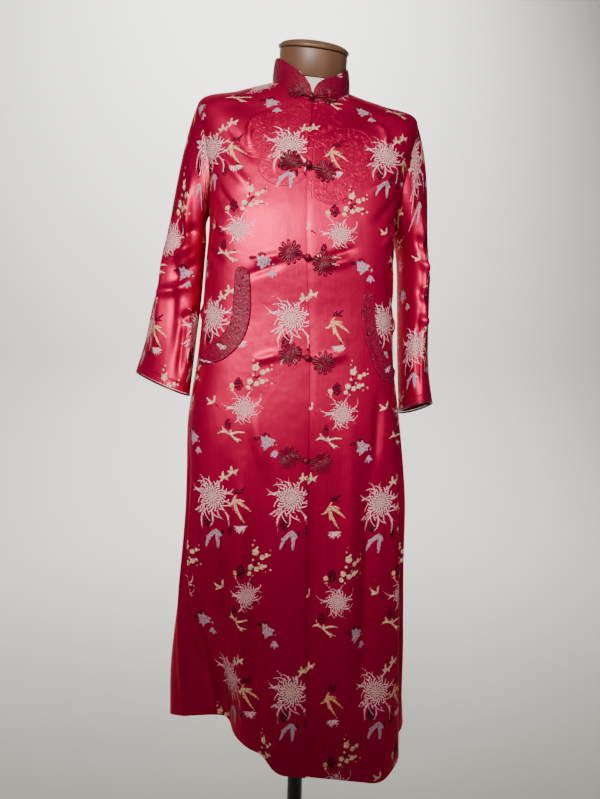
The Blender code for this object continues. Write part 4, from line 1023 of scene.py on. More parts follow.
def bloom_petals(tree):
    """The chrysanthemums, four rings of thin curled petals in the bloom's own round chart, in which
    the head's edge is at 1: the distance from the middle, 1 near a bloom, and 1 on a petal."""
    bloom = add_node(tree, "Attribute", attribute_name="bloom").outputs["Vector"]
    parts = add_node(tree, "SeparateXYZ", {0: bloom})
    flat = add_node(tree, "CombineXYZ", {0: parts.outputs[0], 1: parts.outputs[1]})
    reach = add_node(tree, "VectorMath", {0: flat}, operation="LENGTH").outputs["Value"]
    angle = add_node(tree, "Math", {0: parts.outputs[1], 1: parts.outputs[0]}, operation="ARCTAN2")
    petals = None
    for row in PETAL_RINGS:
        ring = petal_ring(tree, angle, reach, *row)
        petals = ring if petals is None else add_node(tree, "Math", {0: petals, 1: ring},
                                                      operation="MAXIMUM")
    on_bloom = add_node(tree, "Math", {0: parts.outputs[2], 1: 0.93}, operation="GREATER_THAN")
    return reach, on_bloom, add_node(tree, "Math", {0: petals, 1: on_bloom}, operation="MULTIPLY")


def brocade_satin():
    """Silk satin brocade: a glossy warp satin whose figures are floats of thicker, duller weft.
    The eye gets long soft highlights down the warp, and matt pale flowers on them."""
    colours = settings()[0]
    material, tree, shader = new_material("silk_satin_brocade", anisotropic=0.4,
                                          specular_ior_level=0.25, ior=1.36,
                                          specular_tint=linear("#F07A98"))
    chart = add_node(tree, "UVMap", uv_map="chart")
    spot = add_node(tree, "TexCoord").outputs["Object"]
    # Streaks along the warp: 3 mm apart and 60 mm long, far coarser than a 0.1 mm end, to show.
    along = add_node(tree, "Mapping", {"Vector": chart, "Scale": (330, 16, 1)})
    streak = add_node(tree, "TexNoise", {"Vector": along, "Scale": 1.0, "Detail": 3.0})
    crumple = add_node(tree, "TexNoise", {"Vector": spot, "Scale": 26.0, "Detail": 2.5})
    wide = add_node(tree, "TexNoise", {"Vector": spot, "Scale": 7.0, "Detail": 2.0})
    shade = add_node(tree, "Math", {0: streak.outputs["Fac"], 1: wide.outputs["Fac"]}, operation="ADD")
    shade = add_node(tree, "MapRange", {"Value": shade, "From Min": 0.7, "From Max": 1.3,
                                        "To Min": 0.92, "To Max": 1.07})
    ground = shaded(tree, tuple(colours.ground)[:3], shade)
    reach, on_bloom, petals = bloom_petals(tree)
    heart = add_node(tree, "MapRange", {"Value": reach, "From Min": 0.2, "From Max": 0.9})
    petal_tone = add_node(tree, "Mix", {"Factor": heart, 6: linear("#D3A39C"), 7: tuple(colours.pink)},
                          data_type="RGBA")
    # Painted shade under the petals: inside each head the ground is mixed towards a dull brown, up to 55%
    # at its middle.
    under = add_node(tree, "MapRange", {"Value": reach, "From Min": 0.5, "From Max": 1.05,
                                        "To Min": 0.55, "To Max": 0.0})
    under = add_node(tree, "Math", {0: under, 1: on_bloom}, operation="MULTIPLY")
    result = add_node(tree, "Mix", {"Factor": under, 6: ground, 7: linear("#7C3A44")},
                      data_type="RGBA").outputs[2]
    figure = petals
    # Between the floats the ground shows in small bits, 3 mm across.
    bits = add_node(tree, "TexNoise", {"Vector": chart, "Scale": 380.0, "Detail": 1.0})
    bits = add_node(tree, "MapRange", {"Value": bits.outputs["Fac"], "From Min": 0.40, "From Max": 0.50,
                                       "To Min": 0.25, "To Max": 1.0})
    for key in COLOURS:
        mask = add_node(tree, "Math", {0: inside_mask(tree, key), 1: bits}, operation="MULTIPLY")
        result = add_node(tree, "Mix", {"Factor": mask, 6: result, 7: tuple(getattr(colours, key))},
                          data_type="RGBA").outputs[2]
        figure = add_node(tree, "Math", {0: figure, 1: mask}, operation="MAXIMUM")
    result = add_node(tree, "Mix", {"Factor": petals, 6: result, 7: petal_tone.outputs[2]},
                      data_type="RGBA").outputs[2]
    # Fine ribs of the floats' binding, 1.6 mm apart, four times coarser than the weave, to show.
    ribs = add_node(tree, "TexWave", {"Vector": chart, "Scale": 100.0, "Distortion": 0.6},
                    bands_direction="Y")
    ribs = add_node(tree, "MapRange", {"Value": ribs.outputs["Fac"], "To Min": 0.78, "To Max": 1.06})
    ribs = add_node(tree, "Mix", {0: figure, 2: 1.0, 3: ribs})
    shaded(tree, result, ribs.outputs[0], shader)
    roughness = add_node(tree, "MapRange", {"Value": figure, "To Min": 0.46, "To Max": 0.64})
    tree.links.new(roughness.outputs[0], shader.inputs["Roughness"])
    # A satin's floats mirror in the thread's own colour, so the ground counts as mostly metallic.
    mirror = add_node(tree, "MapRange", {"Value": figure, "To Min": 0.72, "To Max": 0.0})
    tree.links.new(mirror.outputs[0], shader.inputs["Metallic"])
    line = stitch_lines(tree, chart)
    height = add_node(tree, "Math", {0: crumple.outputs["Fac"], 1: 3.0}, operation="MULTIPLY")
    height = add_node(tree, "Math", {0: streak.outputs["Fac"], 1: 0.25, 2: height},
                      operation="MULTIPLY_ADD")
    height = add_node(tree, "Math", {0: figure, 1: 0.30, 2: height}, operation="MULTIPLY_ADD")
    height = add_node(tree, "Math", {0: line, 1: -0.6, 2: height}, operation="MULTIPLY_ADD")
    bump = add_node(tree, "Bump", {"Height": height, "Strength": 0.8, "Distance": 0.0006})
    tree.links.new(bump.outputs[0], shader.inputs["Normal"])
    return material


def quilted_satin():
    """The brocade closely quilted: stitched channels are sunk and darkened by painted shade, the cloth
    between them is glossy, lightened by a painted highlight, and shows pieces of the woven pattern,
    cream and dark."""
    colours = settings()[0]
    material, tree, shader = new_material("quilted_silk_satin", roughness=0.42, specular_ior_level=0.3,
                                          ior=1.36)
    chart = add_node(tree, "UVMap", uv_map="chart")
    puff = add_node(tree, "Attribute", attribute_name="puff").outputs["Fac"]
    patch = add_node(tree, "TexNoise", {"Vector": chart, "Scale": 42.0, "Detail": 1.0})
    fine = add_node(tree, "TexNoise", {"Vector": chart, "Scale": 420.0, "Detail": 2.0})
    result = tuple(colours.quilted)
    for low, high, tone in ((0.56, 0.60, tuple(colours.dark)), (0.62, 0.68, tuple(colours.pink))):
        patches = add_node(tree, "MapRange", {"Value": patch.outputs["Fac"], "From Min": low,
                                              "From Max": high})
        specks = add_node(tree, "MapRange", {"Value": fine.outputs["Fac"], "From Min": 0.46,
                                             "From Max": 0.56})
        share = add_node(tree, "Math", {0: patches, 1: specks}, operation="MULTIPLY")
        result = add_node(tree, "Mix", {"Factor": share, 6: result, 7: tone}, data_type="RGBA").outputs[2]
    # Painted shade and highlight: the colour darkens to 0.28 in the quilting's channels and lightens to
    # 1.2 on the puffs between them.
    shade = add_node(tree, "MapRange", {"Value": puff, "From Min": 0.10, "From Max": 0.75,
                                        "To Min": 0.28, "To Max": 1.2})
    shaded(tree, result, shade, shader)
    bump = add_node(tree, "Bump", {"Height": fine.outputs["Fac"], "Strength": 0.5, "Distance": 0.0004})
    tree.links.new(bump.outputs[0], shader.inputs["Normal"])
    return material


def plain_satin(name, tone, roughness, pitch_mm):
    """Plain silk satin cut on the bias: glossy, with threads that catch the light: the bump shades
    them, and painted highlight and shade fleck the colour lighter and darker.
    """
    material, tree, shader = new_material(name, roughness=roughness, specular_ior_level=0.4, ior=1.4)
    spot = add_node(tree, "TexCoord").outputs["Object"]
    noise = add_node(tree, "TexNoise", {"Vector": spot, "Scale": 1000 / pitch_mm, "Detail": 3.0})
    wide = add_node(tree, "TexNoise", {"Vector": spot, "Scale": 60.0, "Detail": 2.0})
    both = add_node(tree, "Math", {0: noise.outputs["Fac"], 1: wide.outputs["Fac"]}, operation="ADD")
    # Painted highlight and shade: the colour swings from 0.55 to 1.55 with the threads' noise.
    shade = add_node(tree, "MapRange", {"Value": both, "From Min": 0.7, "From Max": 1.35,
                                        "To Min": 0.55, "To Max": 1.55})
    shaded(tree, tone[:3], shade, shader)
    bump = add_node(tree, "Bump", {"Height": noise.outputs["Fac"], "Strength": 0.5, "Distance": 0.0004})
    tree.links.new(bump.outputs[0], shader.inputs["Normal"])
    return material


def cotton_jersey(tone):
    """Cotton jersey stretched over padding: matt, with fine knitted wales 1.4 mm apart, drawn
    about twice as coarse as they are so that they show."""
    material, tree, shader = new_material("cotton_jersey", roughness=0.9, sheen_weight=0.3,
                                          sheen_roughness=0.5)
    spot = add_node(tree, "TexCoord").outputs["Object"]
    wales = add_node(tree, "TexWave", {"Vector": spot, "Scale": 1 / 0.0014 / 20 * 6.28,
                                       "Distortion": 1.0, "Detail": 1.0}, bands_direction="X")
    grain = add_node(tree, "TexNoise", {"Vector": spot, "Scale": 400.0, "Detail": 2.0})
    soil = add_node(tree, "TexNoise", {"Vector": spot, "Scale": 18.0, "Detail": 3.0})
    shade = add_node(tree, "MapRange", {"Value": soil.outputs["Fac"], "From Min": 0.3, "From Max": 0.7,
                                        "To Min": 0.92, "To Max": 1.05})
    shaded(tree, tone[:3], shade, shader)
    height = add_node(tree, "Math", {0: wales.outputs["Fac"], 1: grain.outputs["Fac"]}, operation="ADD")
    bump = add_node(tree, "Bump", {"Height": height, "Strength": 0.35, "Distance": 0.0003})
    tree.links.new(bump.outputs[0], shader.inputs["Normal"])
    return material


def varnished_walnut(tone):
    """Walnut turned and varnished: brown growth rings as long arcs, under a satin clear coat."""
    material, tree, shader = new_material("varnished_walnut", roughness=0.5, coat_weight=0.2,
                                          coat_roughness=0.35)
    spot = add_node(tree, "TexCoord").outputs["Object"]
    # Growth rings 5 mm apart round a heart beside the block.
    around = add_node(tree, "Mapping", {"Vector": spot, "Location": (0.05, 0.10, -1.50),
                                        "Rotation": (0.25, 0.10, 0.0)})
    rings = add_node(tree, "TexWave", {"Vector": around, "Scale": 10.0, "Distortion": 3.5,
                                       "Detail": 3.0, "Detail Scale": 1.4}, wave_type="RINGS",
                     rings_direction="Y")
    pores = add_node(tree, "Mapping", {"Vector": spot, "Scale": (900, 900, 60)})
    pores = add_node(tree, "TexNoise", {"Vector": pores, "Scale": 1.0, "Detail": 3.0})
    mix = add_node(tree, "Math", {0: pores.outputs["Fac"], 1: 0.5, 2: rings.outputs["Fac"]},
                   operation="MULTIPLY_ADD")
    shade = add_node(tree, "MapRange", {"Value": mix, "From Min": 0.2, "From Max": 1.3, "To Min": 0.90,
                                        "To Max": 1.10})
    shaded(tree, tone[:3], shade, shader)
    bump = add_node(tree, "Bump", {"Height": mix, "Strength": 0.2, "Distance": 0.0003})
    tree.links.new(bump.outputs[0], shader.inputs["Normal"])
    return material


def black_enamel(tone):
    """Black enamel on steel: hard and glossy, with the faint orange peel of a sprayed coat."""
    material, tree, shader = new_material("black_enamel", base_color=tone, roughness=0.30)
    spot = add_node(tree, "TexCoord").outputs["Object"]
    peel = add_node(tree, "TexNoise", {"Vector": spot, "Scale": 500.0, "Detail": 1.0})
    rub = add_node(tree, "TexNoise", {"Vector": spot, "Scale": 40.0, "Detail": 4.0})
    rough = add_node(tree, "MapRange", {"Value": rub.outputs["Fac"], "To Min": 0.22, "To Max": 0.42})
    tree.links.new(rough.outputs[0], shader.inputs["Roughness"])
    bump = add_node(tree, "Bump", {"Height": peel.outputs["Fac"], "Strength": 0.15, "Distance": 0.0002})
    tree.links.new(bump.outputs[0], shader.inputs["Normal"])
    return material


def painted_board(tone):
    """A matt painted studio floor and wall, slightly uneven."""
    material, tree, shader = new_material("painted_board", roughness=0.85)
    spot = add_node(tree, "TexCoord").outputs["Object"]
    noise = add_node(tree, "TexNoise", {"Vector": spot, "Scale": 3.0, "Detail": 4.0})
    shade = add_node(tree, "MapRange", {"Value": noise.outputs["Fac"], "To Min": 0.97, "To Max": 1.03})
    shaded(tree, tone[:3], shade, shader)
    return material


MADE = {}


def material_of(name):
    """The material of a finish, made once."""
    colours = settings()[0]
    makers = {
        "brocade": brocade_satin,
        "quilted": quilted_satin,
        "cord": lambda: plain_satin("bias_cut_silk_satin", tuple(colours.cord), 0.36, 1.6),
        "jersey": lambda: cotton_jersey(tuple(colours.jersey)),
        "walnut": lambda: varnished_walnut(tuple(colours.walnut)),
        "enamel": lambda: black_enamel(tuple(colours.enamel)),
        "board": lambda: painted_board(tuple(colours.backdrop)),
    }
    if name not in MADE:
        MADE[name] = makers[name]()
    return MADE[name]


# Pieces

def settle(thing, slot, *nodes):
    """The piece rides with the part and stands for its solids. The slot is not used."""
    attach(thing, "root")
    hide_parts(*nodes)
    return thing


def coat_fronts():
    """The two fronts, each from its side seam to its closing edge, in one from hem to shoulder."""
    u = panel_rows(*FRONT_ROWS)[:, None]
    side, edge = side_angle(u), edge_angle(u)
    s = -side + (edge + side) * np.linspace(0, 1, FRONT_COLUMNS)[None]
    rise = overlap_rise(s, u)
    outer, inner = worn(s, u, rise), worn(s, u, rise - WALL)
    finish_front("right", outer, inner, FRONT_COLUMNS - 1)
    under = edge + turn_of(1, u) * between(-UNDERLAP, 0, UNDERLAP_COLUMNS)[None]
    over = edge + (side - edge) * np.linspace(0, 1, FRONT_COLUMNS - UNDERLAP_COLUMNS)[None]
    s = np.concatenate([under, over], 1)
    low = np.minimum(u, NECK_U - 0.0012 * (s < edge))
    sink = -EDGE_SINK * np.exp(-(((s - edge) * section(u)["half_width"] / EDGE_SINK_REACH) ** 2))
    outer, inner = worn(s, low, sink), worn(s, low, sink - WALL)
    finish_front("left", outer, inner, UNDERLAP_COLUMNS)


def finish_front(name, outer, inner, edge_column):
    """Weaves the pattern into a front's grid and makes the piece."""
    x = arc_lengths(outer, edge_column)
    y = front_rows(outer, BLOOM_HEIGHTS[name])
    values = Weave(x, y).weave(FRONT_GROUPS[name], wide=0)
    values["yoke"] = yoke_depth(x, y)
    values["seam"] = np.full(x.shape, FAR)
    if name == "left":
        values["seam"] = np.abs(x - EDGE_STITCH) + np.clip(EDGE_STITCH_FOOT - y, 0, FAR)
    chart = np.stack([x, y], -1) / 1000
    made = panel("front_" + name, outer, inner, material_of("brocade"), chart, values)
    settle(made, "brocade_satin", "coat_front_" + name)


def coat_back():
    """The back, in one piece between the side seams."""
    u = panel_rows(*BACK_ROWS)[:, None]
    side = math.pi - side_angle(u)
    s = side + (2 * math.pi - 2 * side) * np.linspace(0, 1, BACK_COLUMNS)[None]
    outer, inner = worn(s, u, 0.0), worn(s, u, -WALL)
    x = arc_lengths(outer, BACK_COLUMNS // 2)
    y = np.broadcast_to((u - 1.05) * 1050, x.shape)
    values = Weave(x, y).weave(GROUPS, *BACK_BLOOM)
    values["yoke"] = yoke_depth(-np.abs(x) * 0.9 + 6, y - 50)
    values["seam"] = np.full(x.shape, FAR)
    made = panel("back", outer, inner, material_of("brocade"), np.stack([x, y], -1) / 1000, values)
    settle(made, "brocade_satin", "coat_back")


def sleeves():
    """Each three-quarter sleeve, and the narrow binding rolled round its cuff."""
    phi = full_turn(SLEEVE_COLUMNS)
    t = np.concatenate([between(0, SLEEVE_HEAD, 32), np.linspace(SLEEVE_HEAD, 1, 181)])
    for side, name in ((-1, "right"), (1, "left")):
        outer, normal = worn_sleeve(side, phi, t)
        inner = outer - normal * WALL
        seam = ((1 - np.cos(phi)) / 2)[:, None] ** 2
        cut = unit(seam * armhole_normal(side, phi) + (1 - seam) * normal[0])
        inner[0] = outer[0] - cut * WALL
        x = arc_lengths(outer, SLEEVE_COLUMNS // 2)
        steps = np.linalg.norm(np.diff(outer, axis=0), axis=2).mean(1)
        y = -np.cumsum(np.concatenate([[0], steps])) * 1000
        y = np.broadcast_to(y[:, None], x.shape)
        x = side * x
        values = Weave(x, y).weave(GROUPS, *SLEEVE_BLOOM[side])
        values["yoke"] = np.full(x.shape, -FAR)
        values["seam"] = np.abs(y - y[-1:] - CUFF_STITCH)
        made = tube("sleeve_piece_" + name, outer, inner, material_of("brocade"),
                    np.stack([x, y], -1) / 1000, values)
        settle(made, "brocade_satin", "sleeve_" + name)
        cuff_binding(name, outer, normal)


def cuff_binding(name, outer, normal):
    """A binding round a cuff: a flat loop of satin with rounded edges, square to the cuff's edge."""
    down = unit(outer[-1] - outer[-2])
    turn = full_turn(16)
    clear = SEAM_GAP + 0.0001
    middle = outer[-1] + down * (CUFF_BAND + clear) / 2 - normal[-1] * 0.0007
    half_long, half_thick, squareness = (CUFF_BAND - clear) / 2, 0.0012, 0.45
    across = np.sign(np.cos(turn)) * np.abs(np.cos(turn)) ** squareness * half_long
    thick = np.sign(np.sin(turn)) * np.abs(np.sin(turn)) ** squareness * half_thick
    rings = (middle[:, None] + down[:, None] * across[None, :, None]
             + normal[-1][:, None] * thick[None, :, None])
    faces = grid_faces(*rings.shape[:2], closed=True, looped=True)
    made = piece("cuff_edge_" + name, rings, [faces], material_of("cord"), sharp=80)
    settle(made, "frog_satin", "cuff_binding_" + name)


def piping(border, away):
    """The piping's height: a bell 0.4 mm high at a distance from the border, in millimetres."""
    return 0.0004 * np.exp(-((border - away) / 0.9) ** 2)


def collar():
    """The stand-up collar, open in front, its corners rounded and its face finely quilted."""
    corner = COLLAR_CORNER * (1 - np.cos(math.pi / 2 * np.arange(33) / 32))
    ends = corner / COLLAR_AROUND * 2 * math.pi
    # 1.2 mm, as an angle round the neck, stays free between the closing edge and each end.
    clear = 0.0012 / 0.07
    first = float(edge_angle(np.array([NECK_U]))[0]) + clear
    last = first + 2 * math.pi - 2 * clear
    middle = np.linspace(first + ends[-1], last - ends[-1], 361)[1:-1]
    s = np.concatenate([first + ends, middle, last - ends[::-1]])
    length = (s - first) * COLLAR_AROUND / (2 * math.pi)
    reach = collar_reach(np.minimum(length, length[-1] - length))
    h = np.linspace(0, 1, 41)[:, None] * reach[None]
    s = np.broadcast_to(s, h.shape)
    x, y = np.broadcast_to(length * 1000, h.shape), h * COLLAR_HEIGHT * 1000
    border = np.minimum(np.minimum(y, reach * COLLAR_HEIGHT * 1000 - y), np.minimum(x, x[:, -1:] - x))
    puff = settings()[1].quilting * (meander(x, y) - 0.5) * ease(border / 3.0)
    rolled = piping(border, 1.2)
    out = unit(np.stack([np.sin(s), -np.cos(s), 0 * s], -1))
    form = collar_point(s, h)
    # The quilting's height, as the puff attribute that paints shade into the channels and a highlight
    # onto the puffs.
    painted_quilt_shade = np.where(border < 2.2, 0.8, meander(x, y))
    made = panel("collar_stand", form + out * (puff + rolled)[..., None], form - out * WALL,
                 material_of("quilted"), np.stack([x, y], -1) / 1000, {"puff": painted_quilt_shade})
    settle(made, "quilted_satin", "collar")


def pocket_bands():
    """The curved quilted bands along the pocket mouths, lying on the fronts."""
    for name, table in POCKETS.items():
        table = np.array(table)
        t = np.linspace(0, 1, len(table))
        along, across = np.linspace(0, 1, 241)[:, None], np.linspace(0, 1, 33)[None]
        edges = [smooth(t, table[:, i], along) for i in range(4)]
        s = np.radians(edges[0] + (edges[2] - edges[0]) * across)
        u = edges[1] + (edges[3] - edges[1]) * across
        base = LAY_GAP + (overlap_rise(s, u) if name == "right" else 0.0)
        form = worn(s, u, base)
        x = arc_lengths(form, 0)
        y = arc_lengths(form.transpose(1, 0, 2), 0).T
        border = np.minimum(np.minimum(x, x[:, -1:] - x), np.minimum(y, y[-1:] - y))
        puff = settings()[1].quilting * meander(x, y) * ease(border / 2.5)
        rounded = BAND_WALL * (0.55 + 0.45 * ease(border / 1.6))
        outer = worn(s, u, base + rounded + puff + piping(border, 1.3))
        # The quilting's height, as the puff attribute that paints shade into the channels and a highlight
        # onto the puffs.
        painted_quilt_shade = np.where(border < 2.2, 0.8, meander(x, y))
        made = panel("pocket_edge_" + name, outer, form, material_of("quilted"),
                     np.stack([x, y], -1) / 1000, {"puff": painted_quilt_shade})
        settle(made, "quilted_satin", "pocket_band_" + name)


def frog_half(name, x, z, knot_x, knot_z, radius, front):
    """One frog half of rouleau cord: a flower of long loops, a small coil in its middle, and a
    double stem that runs to the knot. The flower's radius swings in and out once for each petal."""
    thick = settings()[1].cord / 2
    lay, gap = (laid_at_neck, COLLAR_FROG_GAP) if name.startswith("collar") else (laid_on, LAY_GAP)
    aim = math.atan2(knot_z - z, knot_x - x)
    a = full_turn(PETALS * PETAL_POINTS)
    reach = radius * (0.56 + 0.38 * np.cos(PETALS * a))
    turned = a + aim + math.pi / PETALS + 0.5 / PETALS * np.sin(2 * PETALS * a)
    px, pz = reach * np.cos(turned), reach * np.sin(turned)
    over = thick * (1.15 + 0.25 * np.cos(PETALS * a))
    rose = cord_rings(lay(x + px, z + pz, gap + over, front), thick, closed=True)
    blocks, points = [], []
    add_cord(points, blocks, rose, looped=True)
    b = np.linspace(0, 5.2 * math.pi, 60)
    r = radius * (0.03 + 0.21 * b / b[-1])
    lift = thick * (2.4 - 0.5 * b / b[-1])
    coil = cord_rings(lay(x + r * np.cos(b), z + r * np.sin(b), gap + lift, front), thick * 0.92)
    add_cord(points, blocks, coil)
    length = math.hypot(knot_x - x, knot_z - z) - KNOT_RADIUS * 0.8
    for way in (-1, 1):
        f = np.linspace(radius * 0.30 / length, 1, 22)
        away = way * thick * (1.0 + 0.35 * np.sin(math.pi * f))
        sx = x + length * f * math.cos(aim) - away * math.sin(aim)
        sz = z + length * f * math.sin(aim) + away * math.cos(aim)
        lift = thick * (2.3 - 1.2 * ease((f - 0.45) / 0.3))
        stem = cord_rings(lay(sx, sz, gap + lift, front), thick)
        add_cord(points, blocks, stem)
    made = piece("frog_cord_" + name, np.concatenate(points), blocks, material_of("cord"), sharp=80)
    settle(made, "frog_satin", "frog_" + name)


def add_cord(points, blocks, rings, looped=False):
    """Adds a cord's rings to lists of points and faces: a loop, or a length with closed ends."""
    start = sum(len(block) for block in points)
    rows, columns = rings.shape[:2]
    blocks.append(grid_faces(rows, columns, start, closed=True, looped=looped))
    if looped:
        points.append(rings.reshape(-1, 3))
    else:
        points.append(with_middles(rings))
        blocks.append(end_faces(rows, columns, start))


def knot(name, x, z):
    """A ball knot of the same cord: a sphere whose surface swells along three crossed bands."""
    centre = laid_on(np.array(x), np.array(z), LAY_GAP + KNOT_RADIUS * 0.93, "right")
    up = np.linspace(0.03, math.pi - 0.03, 40)[:, None]
    turn = full_turn(48)[None]
    way = np.stack([np.sin(up) * np.cos(turn), np.sin(up) * np.sin(turn), np.cos(up) + 0 * turn], -1)
    bands = [np.abs(np.sin(3 * turn + 2.6 * sign * np.cos(up) * 1.6)) for sign in (-1, 1)]
    swell = 0.86 + 0.16 * np.sqrt(np.maximum(bands[0], bands[1])) * np.sin(up) ** 0.5
    rings = centre + KNOT_RADIUS * way * swell[..., None]
    settle(capped("knot_" + name, rings, material_of("cord"), sharp=80), "frog_satin", "button_" + name)


def frogs():
    """Five frogs, each of two flowers and a knot, closing the front."""
    for row in FROGS:
        f = dict(zip(FROG_COLUMNS, row))
        for front in ("right", "left"):
            frog_half(f["name"] + "_" + front, f[front + "_x"], f[front + "_z"],
                      f["knot_x"], f["knot_z"], f["flower"], front)
        knot(f["name"], f["knot_x"], f["knot_z"])


def tilted(radius_x, radius_y, height, columns):
    """A ring square to the neck's axis, at a height above the form's neck top."""
    turn = full_turn(columns)
    x, y = radius_x * np.sin(turn), -radius_y * np.cos(turn)
    axis = np.array([0, -math.sin(NECK_TILT), math.cos(NECK_TILT)])
    back = np.array([0, math.cos(NECK_TILT), math.sin(NECK_TILT)])
    ring = np.array([-0.001, 0, NECK_TOP_Z]) + axis * height + y[:, None] * back
    ring[:, 0] += x
    ring[:, 2] += NECK_LEAN * x
    return ring


def dress_form():
    """The padded torso and neck, the wood neck block and its domed lid, all through rings."""
    columns = 144
    s = full_turn(columns)
    rings = []
    for u in np.concatenate([between(FORM_FOOT_U, ARMPIT_U, 60), np.linspace(ARMPIT_U, NECK_U, 60)]):
        u = np.full(s.shape, u)
        rings.append(cloth(s, u, -smooth(FORM_INSET[:, 0], FORM_INSET[:, 1], u), folds=False))
    rings[0][:, 2] = rings[0][:, 2].mean()
    foot = rings[0].mean(0)
    under = [foot + (rings[0] - foot) * share - np.array([0, 0, drop])
             for share, drop in ((0.90, 0.012), (0.965, 0.0075), (0.99, 0.003))]
    neck_foot = tilted(NECK_HALF_WIDTH + 0.0010, NECK_HALF_DEPTH + 0.002, -0.012, columns)
    neck = [tilted(NECK_HALF_WIDTH - d, NECK_HALF_DEPTH - d, h, columns)
            for d, h in ((0.0, -0.006), (0.0, -0.0012), (0.0006, -0.0004), (0.003, 0.0))]
    made = capped("torso", np.array(under + rings + [neck_foot] + neck), material_of("jersey"), sharp=60)
    settle(made, "cream_jersey", "form_torso")
    low, high = PART_GAP, PART_GAP + BLOCK_HEIGHT
    block = [tilted(BLOCK_HALF_WIDTH - d, BLOCK_HALF_DEPTH - d, h, 128) for d, h in
             ((0.0016, low), (0.0005, low + 0.0004), (0.0, low + 0.0014), (0.0, (low + high) / 2),
              (0.0, high - 0.0014), (0.0005, high - 0.0004), (0.0016, high))]
    settle(capped("neck_wood", np.array(block), material_of("walnut"), sharp=60), "walnut", "neck_block")
    rim, depth, low = BLOCK_HALF_WIDTH + CAP_RIM, BLOCK_HALF_DEPTH + CAP_RIM, high + PART_GAP
    edge = [(1 - 0.035 * (1 - math.sin(a)) ** 1.5, CAP_THICK / 2 - CAP_THICK / 2 * math.cos(a))
            for a in np.linspace(0, math.pi, 11)]
    dome = [(0.955 * math.cos(a), CAP_THICK + CAP_DOME * math.sin(a))
            for a in np.linspace(0.08, 1.50, 18)]
    lid = [tilted(rim * f, depth * f, low + h, 128) for f, h in edge + dome]
    settle(capped("neck_wood_lid", np.array(lid), material_of("walnut"), sharp=60), "walnut", "neck_lid")


def turned(name, profile, material):
    """A solid turned about the pole's axis, from a table of radius and height."""
    turn = full_turn(128)
    rings = [np.stack([r * np.cos(turn), r * np.sin(turn), 0 * turn + z], -1) for r, z in profile]
    return capped(name, np.array(rings), material, sharp=35)


def stand():
    """The pole with its flange under the torso, and the round base with its hub."""
    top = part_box("stand_pole")[1].z
    under = top - FLANGE_THICK
    neck = [(POLE_RADIUS + 0.004 * ease(f), under - 0.02 + 0.016 * f) for f in np.linspace(0, 1, 6)]
    foot = HUB_HEIGHT + PART_GAP
    pole = [(POLE_RADIUS - 0.0006, foot), (POLE_RADIUS, foot + 0.0006), *neck,
            (FLANGE_RADIUS - 0.0015, under), (FLANGE_RADIUS, under + 0.0015),
            (FLANGE_RADIUS, top - 0.0010), (FLANGE_RADIUS - 0.0010, top)]
    settle(turned("pole", pole, material_of("enamel")), "black_steel", "stand_pole")
    corner = [(BASE_RADIUS - BASE_EDGE + BASE_EDGE * math.sin(a),
               BASE_THICK - BASE_EDGE + BASE_EDGE * math.cos(a))
              for a in np.linspace(math.pi / 2, 0, 9)]
    base = [(BASE_RADIUS - 0.001, 0.0), (BASE_RADIUS, 0.001), *corner,
            (HUB_RADIUS + 0.006, BASE_THICK + 0.0005), (HUB_RADIUS + 0.002, BASE_THICK + 0.003),
            (HUB_RADIUS, BASE_THICK + 0.008), (HUB_RADIUS, HUB_HEIGHT - 0.002),
            (HUB_RADIUS - 0.0006, HUB_HEIGHT - 0.0006), (HUB_RADIUS - 0.002, HUB_HEIGHT)]
    settle(turned("base", base, material_of("enamel")), "black_steel", "stand_base")


# Studio

def studio_floor():
    """A floor that curves up into a wall: a straight, a quarter round, a straight, swept sideways."""
    wide, deep, wall, bend = 7.0, 2.6, 4.5, 0.9
    turn = np.linspace(0, math.pi / 2, 24)
    y = np.concatenate([[-5.0, -1.0], deep - bend + bend * np.sin(turn), [deep]])
    z = np.concatenate([[0.0, 0.0], bend - bend * np.cos(turn), [wall]])
    x = np.linspace(-wide, wide, 9)
    grid = np.stack(np.broadcast_arrays(x[None], y[:, None], z[:, None]), -1)
    mesh = bpy.data.meshes.new("studio_floor")
    mesh.from_pydata(grid.reshape(-1, 3).tolist(), [], grid_faces(*grid.shape[:2]).tolist())
    mesh.materials.append(material_of("board"))
    mesh.shade_smooth()
    floor = bpy.data.objects.new("studio_floor", mesh)
    bpy.context.scene.collection.objects.link(floor)


def area_light(name, place, aim, size, power, tone, spread):
    """A square soft light at a place, turned to aim, that spreads by an angle in degrees."""
    light = bpy.data.lights.new(name, "AREA")
    light.shape, light.size, light.energy, light.color = "SQUARE", size, power, linear(tone)[:3]
    light.spread = math.radians(spread)
    thing = bpy.data.objects.new(name, light)
    place, aim = np.array(place), np.array(aim)
    back = unit(place - aim)
    right = unit(np.cross(np.array([0, 0.001, 1.0]), back))
    up = np.cross(back, right)
    thing.matrix_world = Matrix([[right[i], up[i], back[i], place[i]] for i in range(3)] + [[0, 0, 0, 1]])
    bpy.context.scene.collection.objects.link(thing)


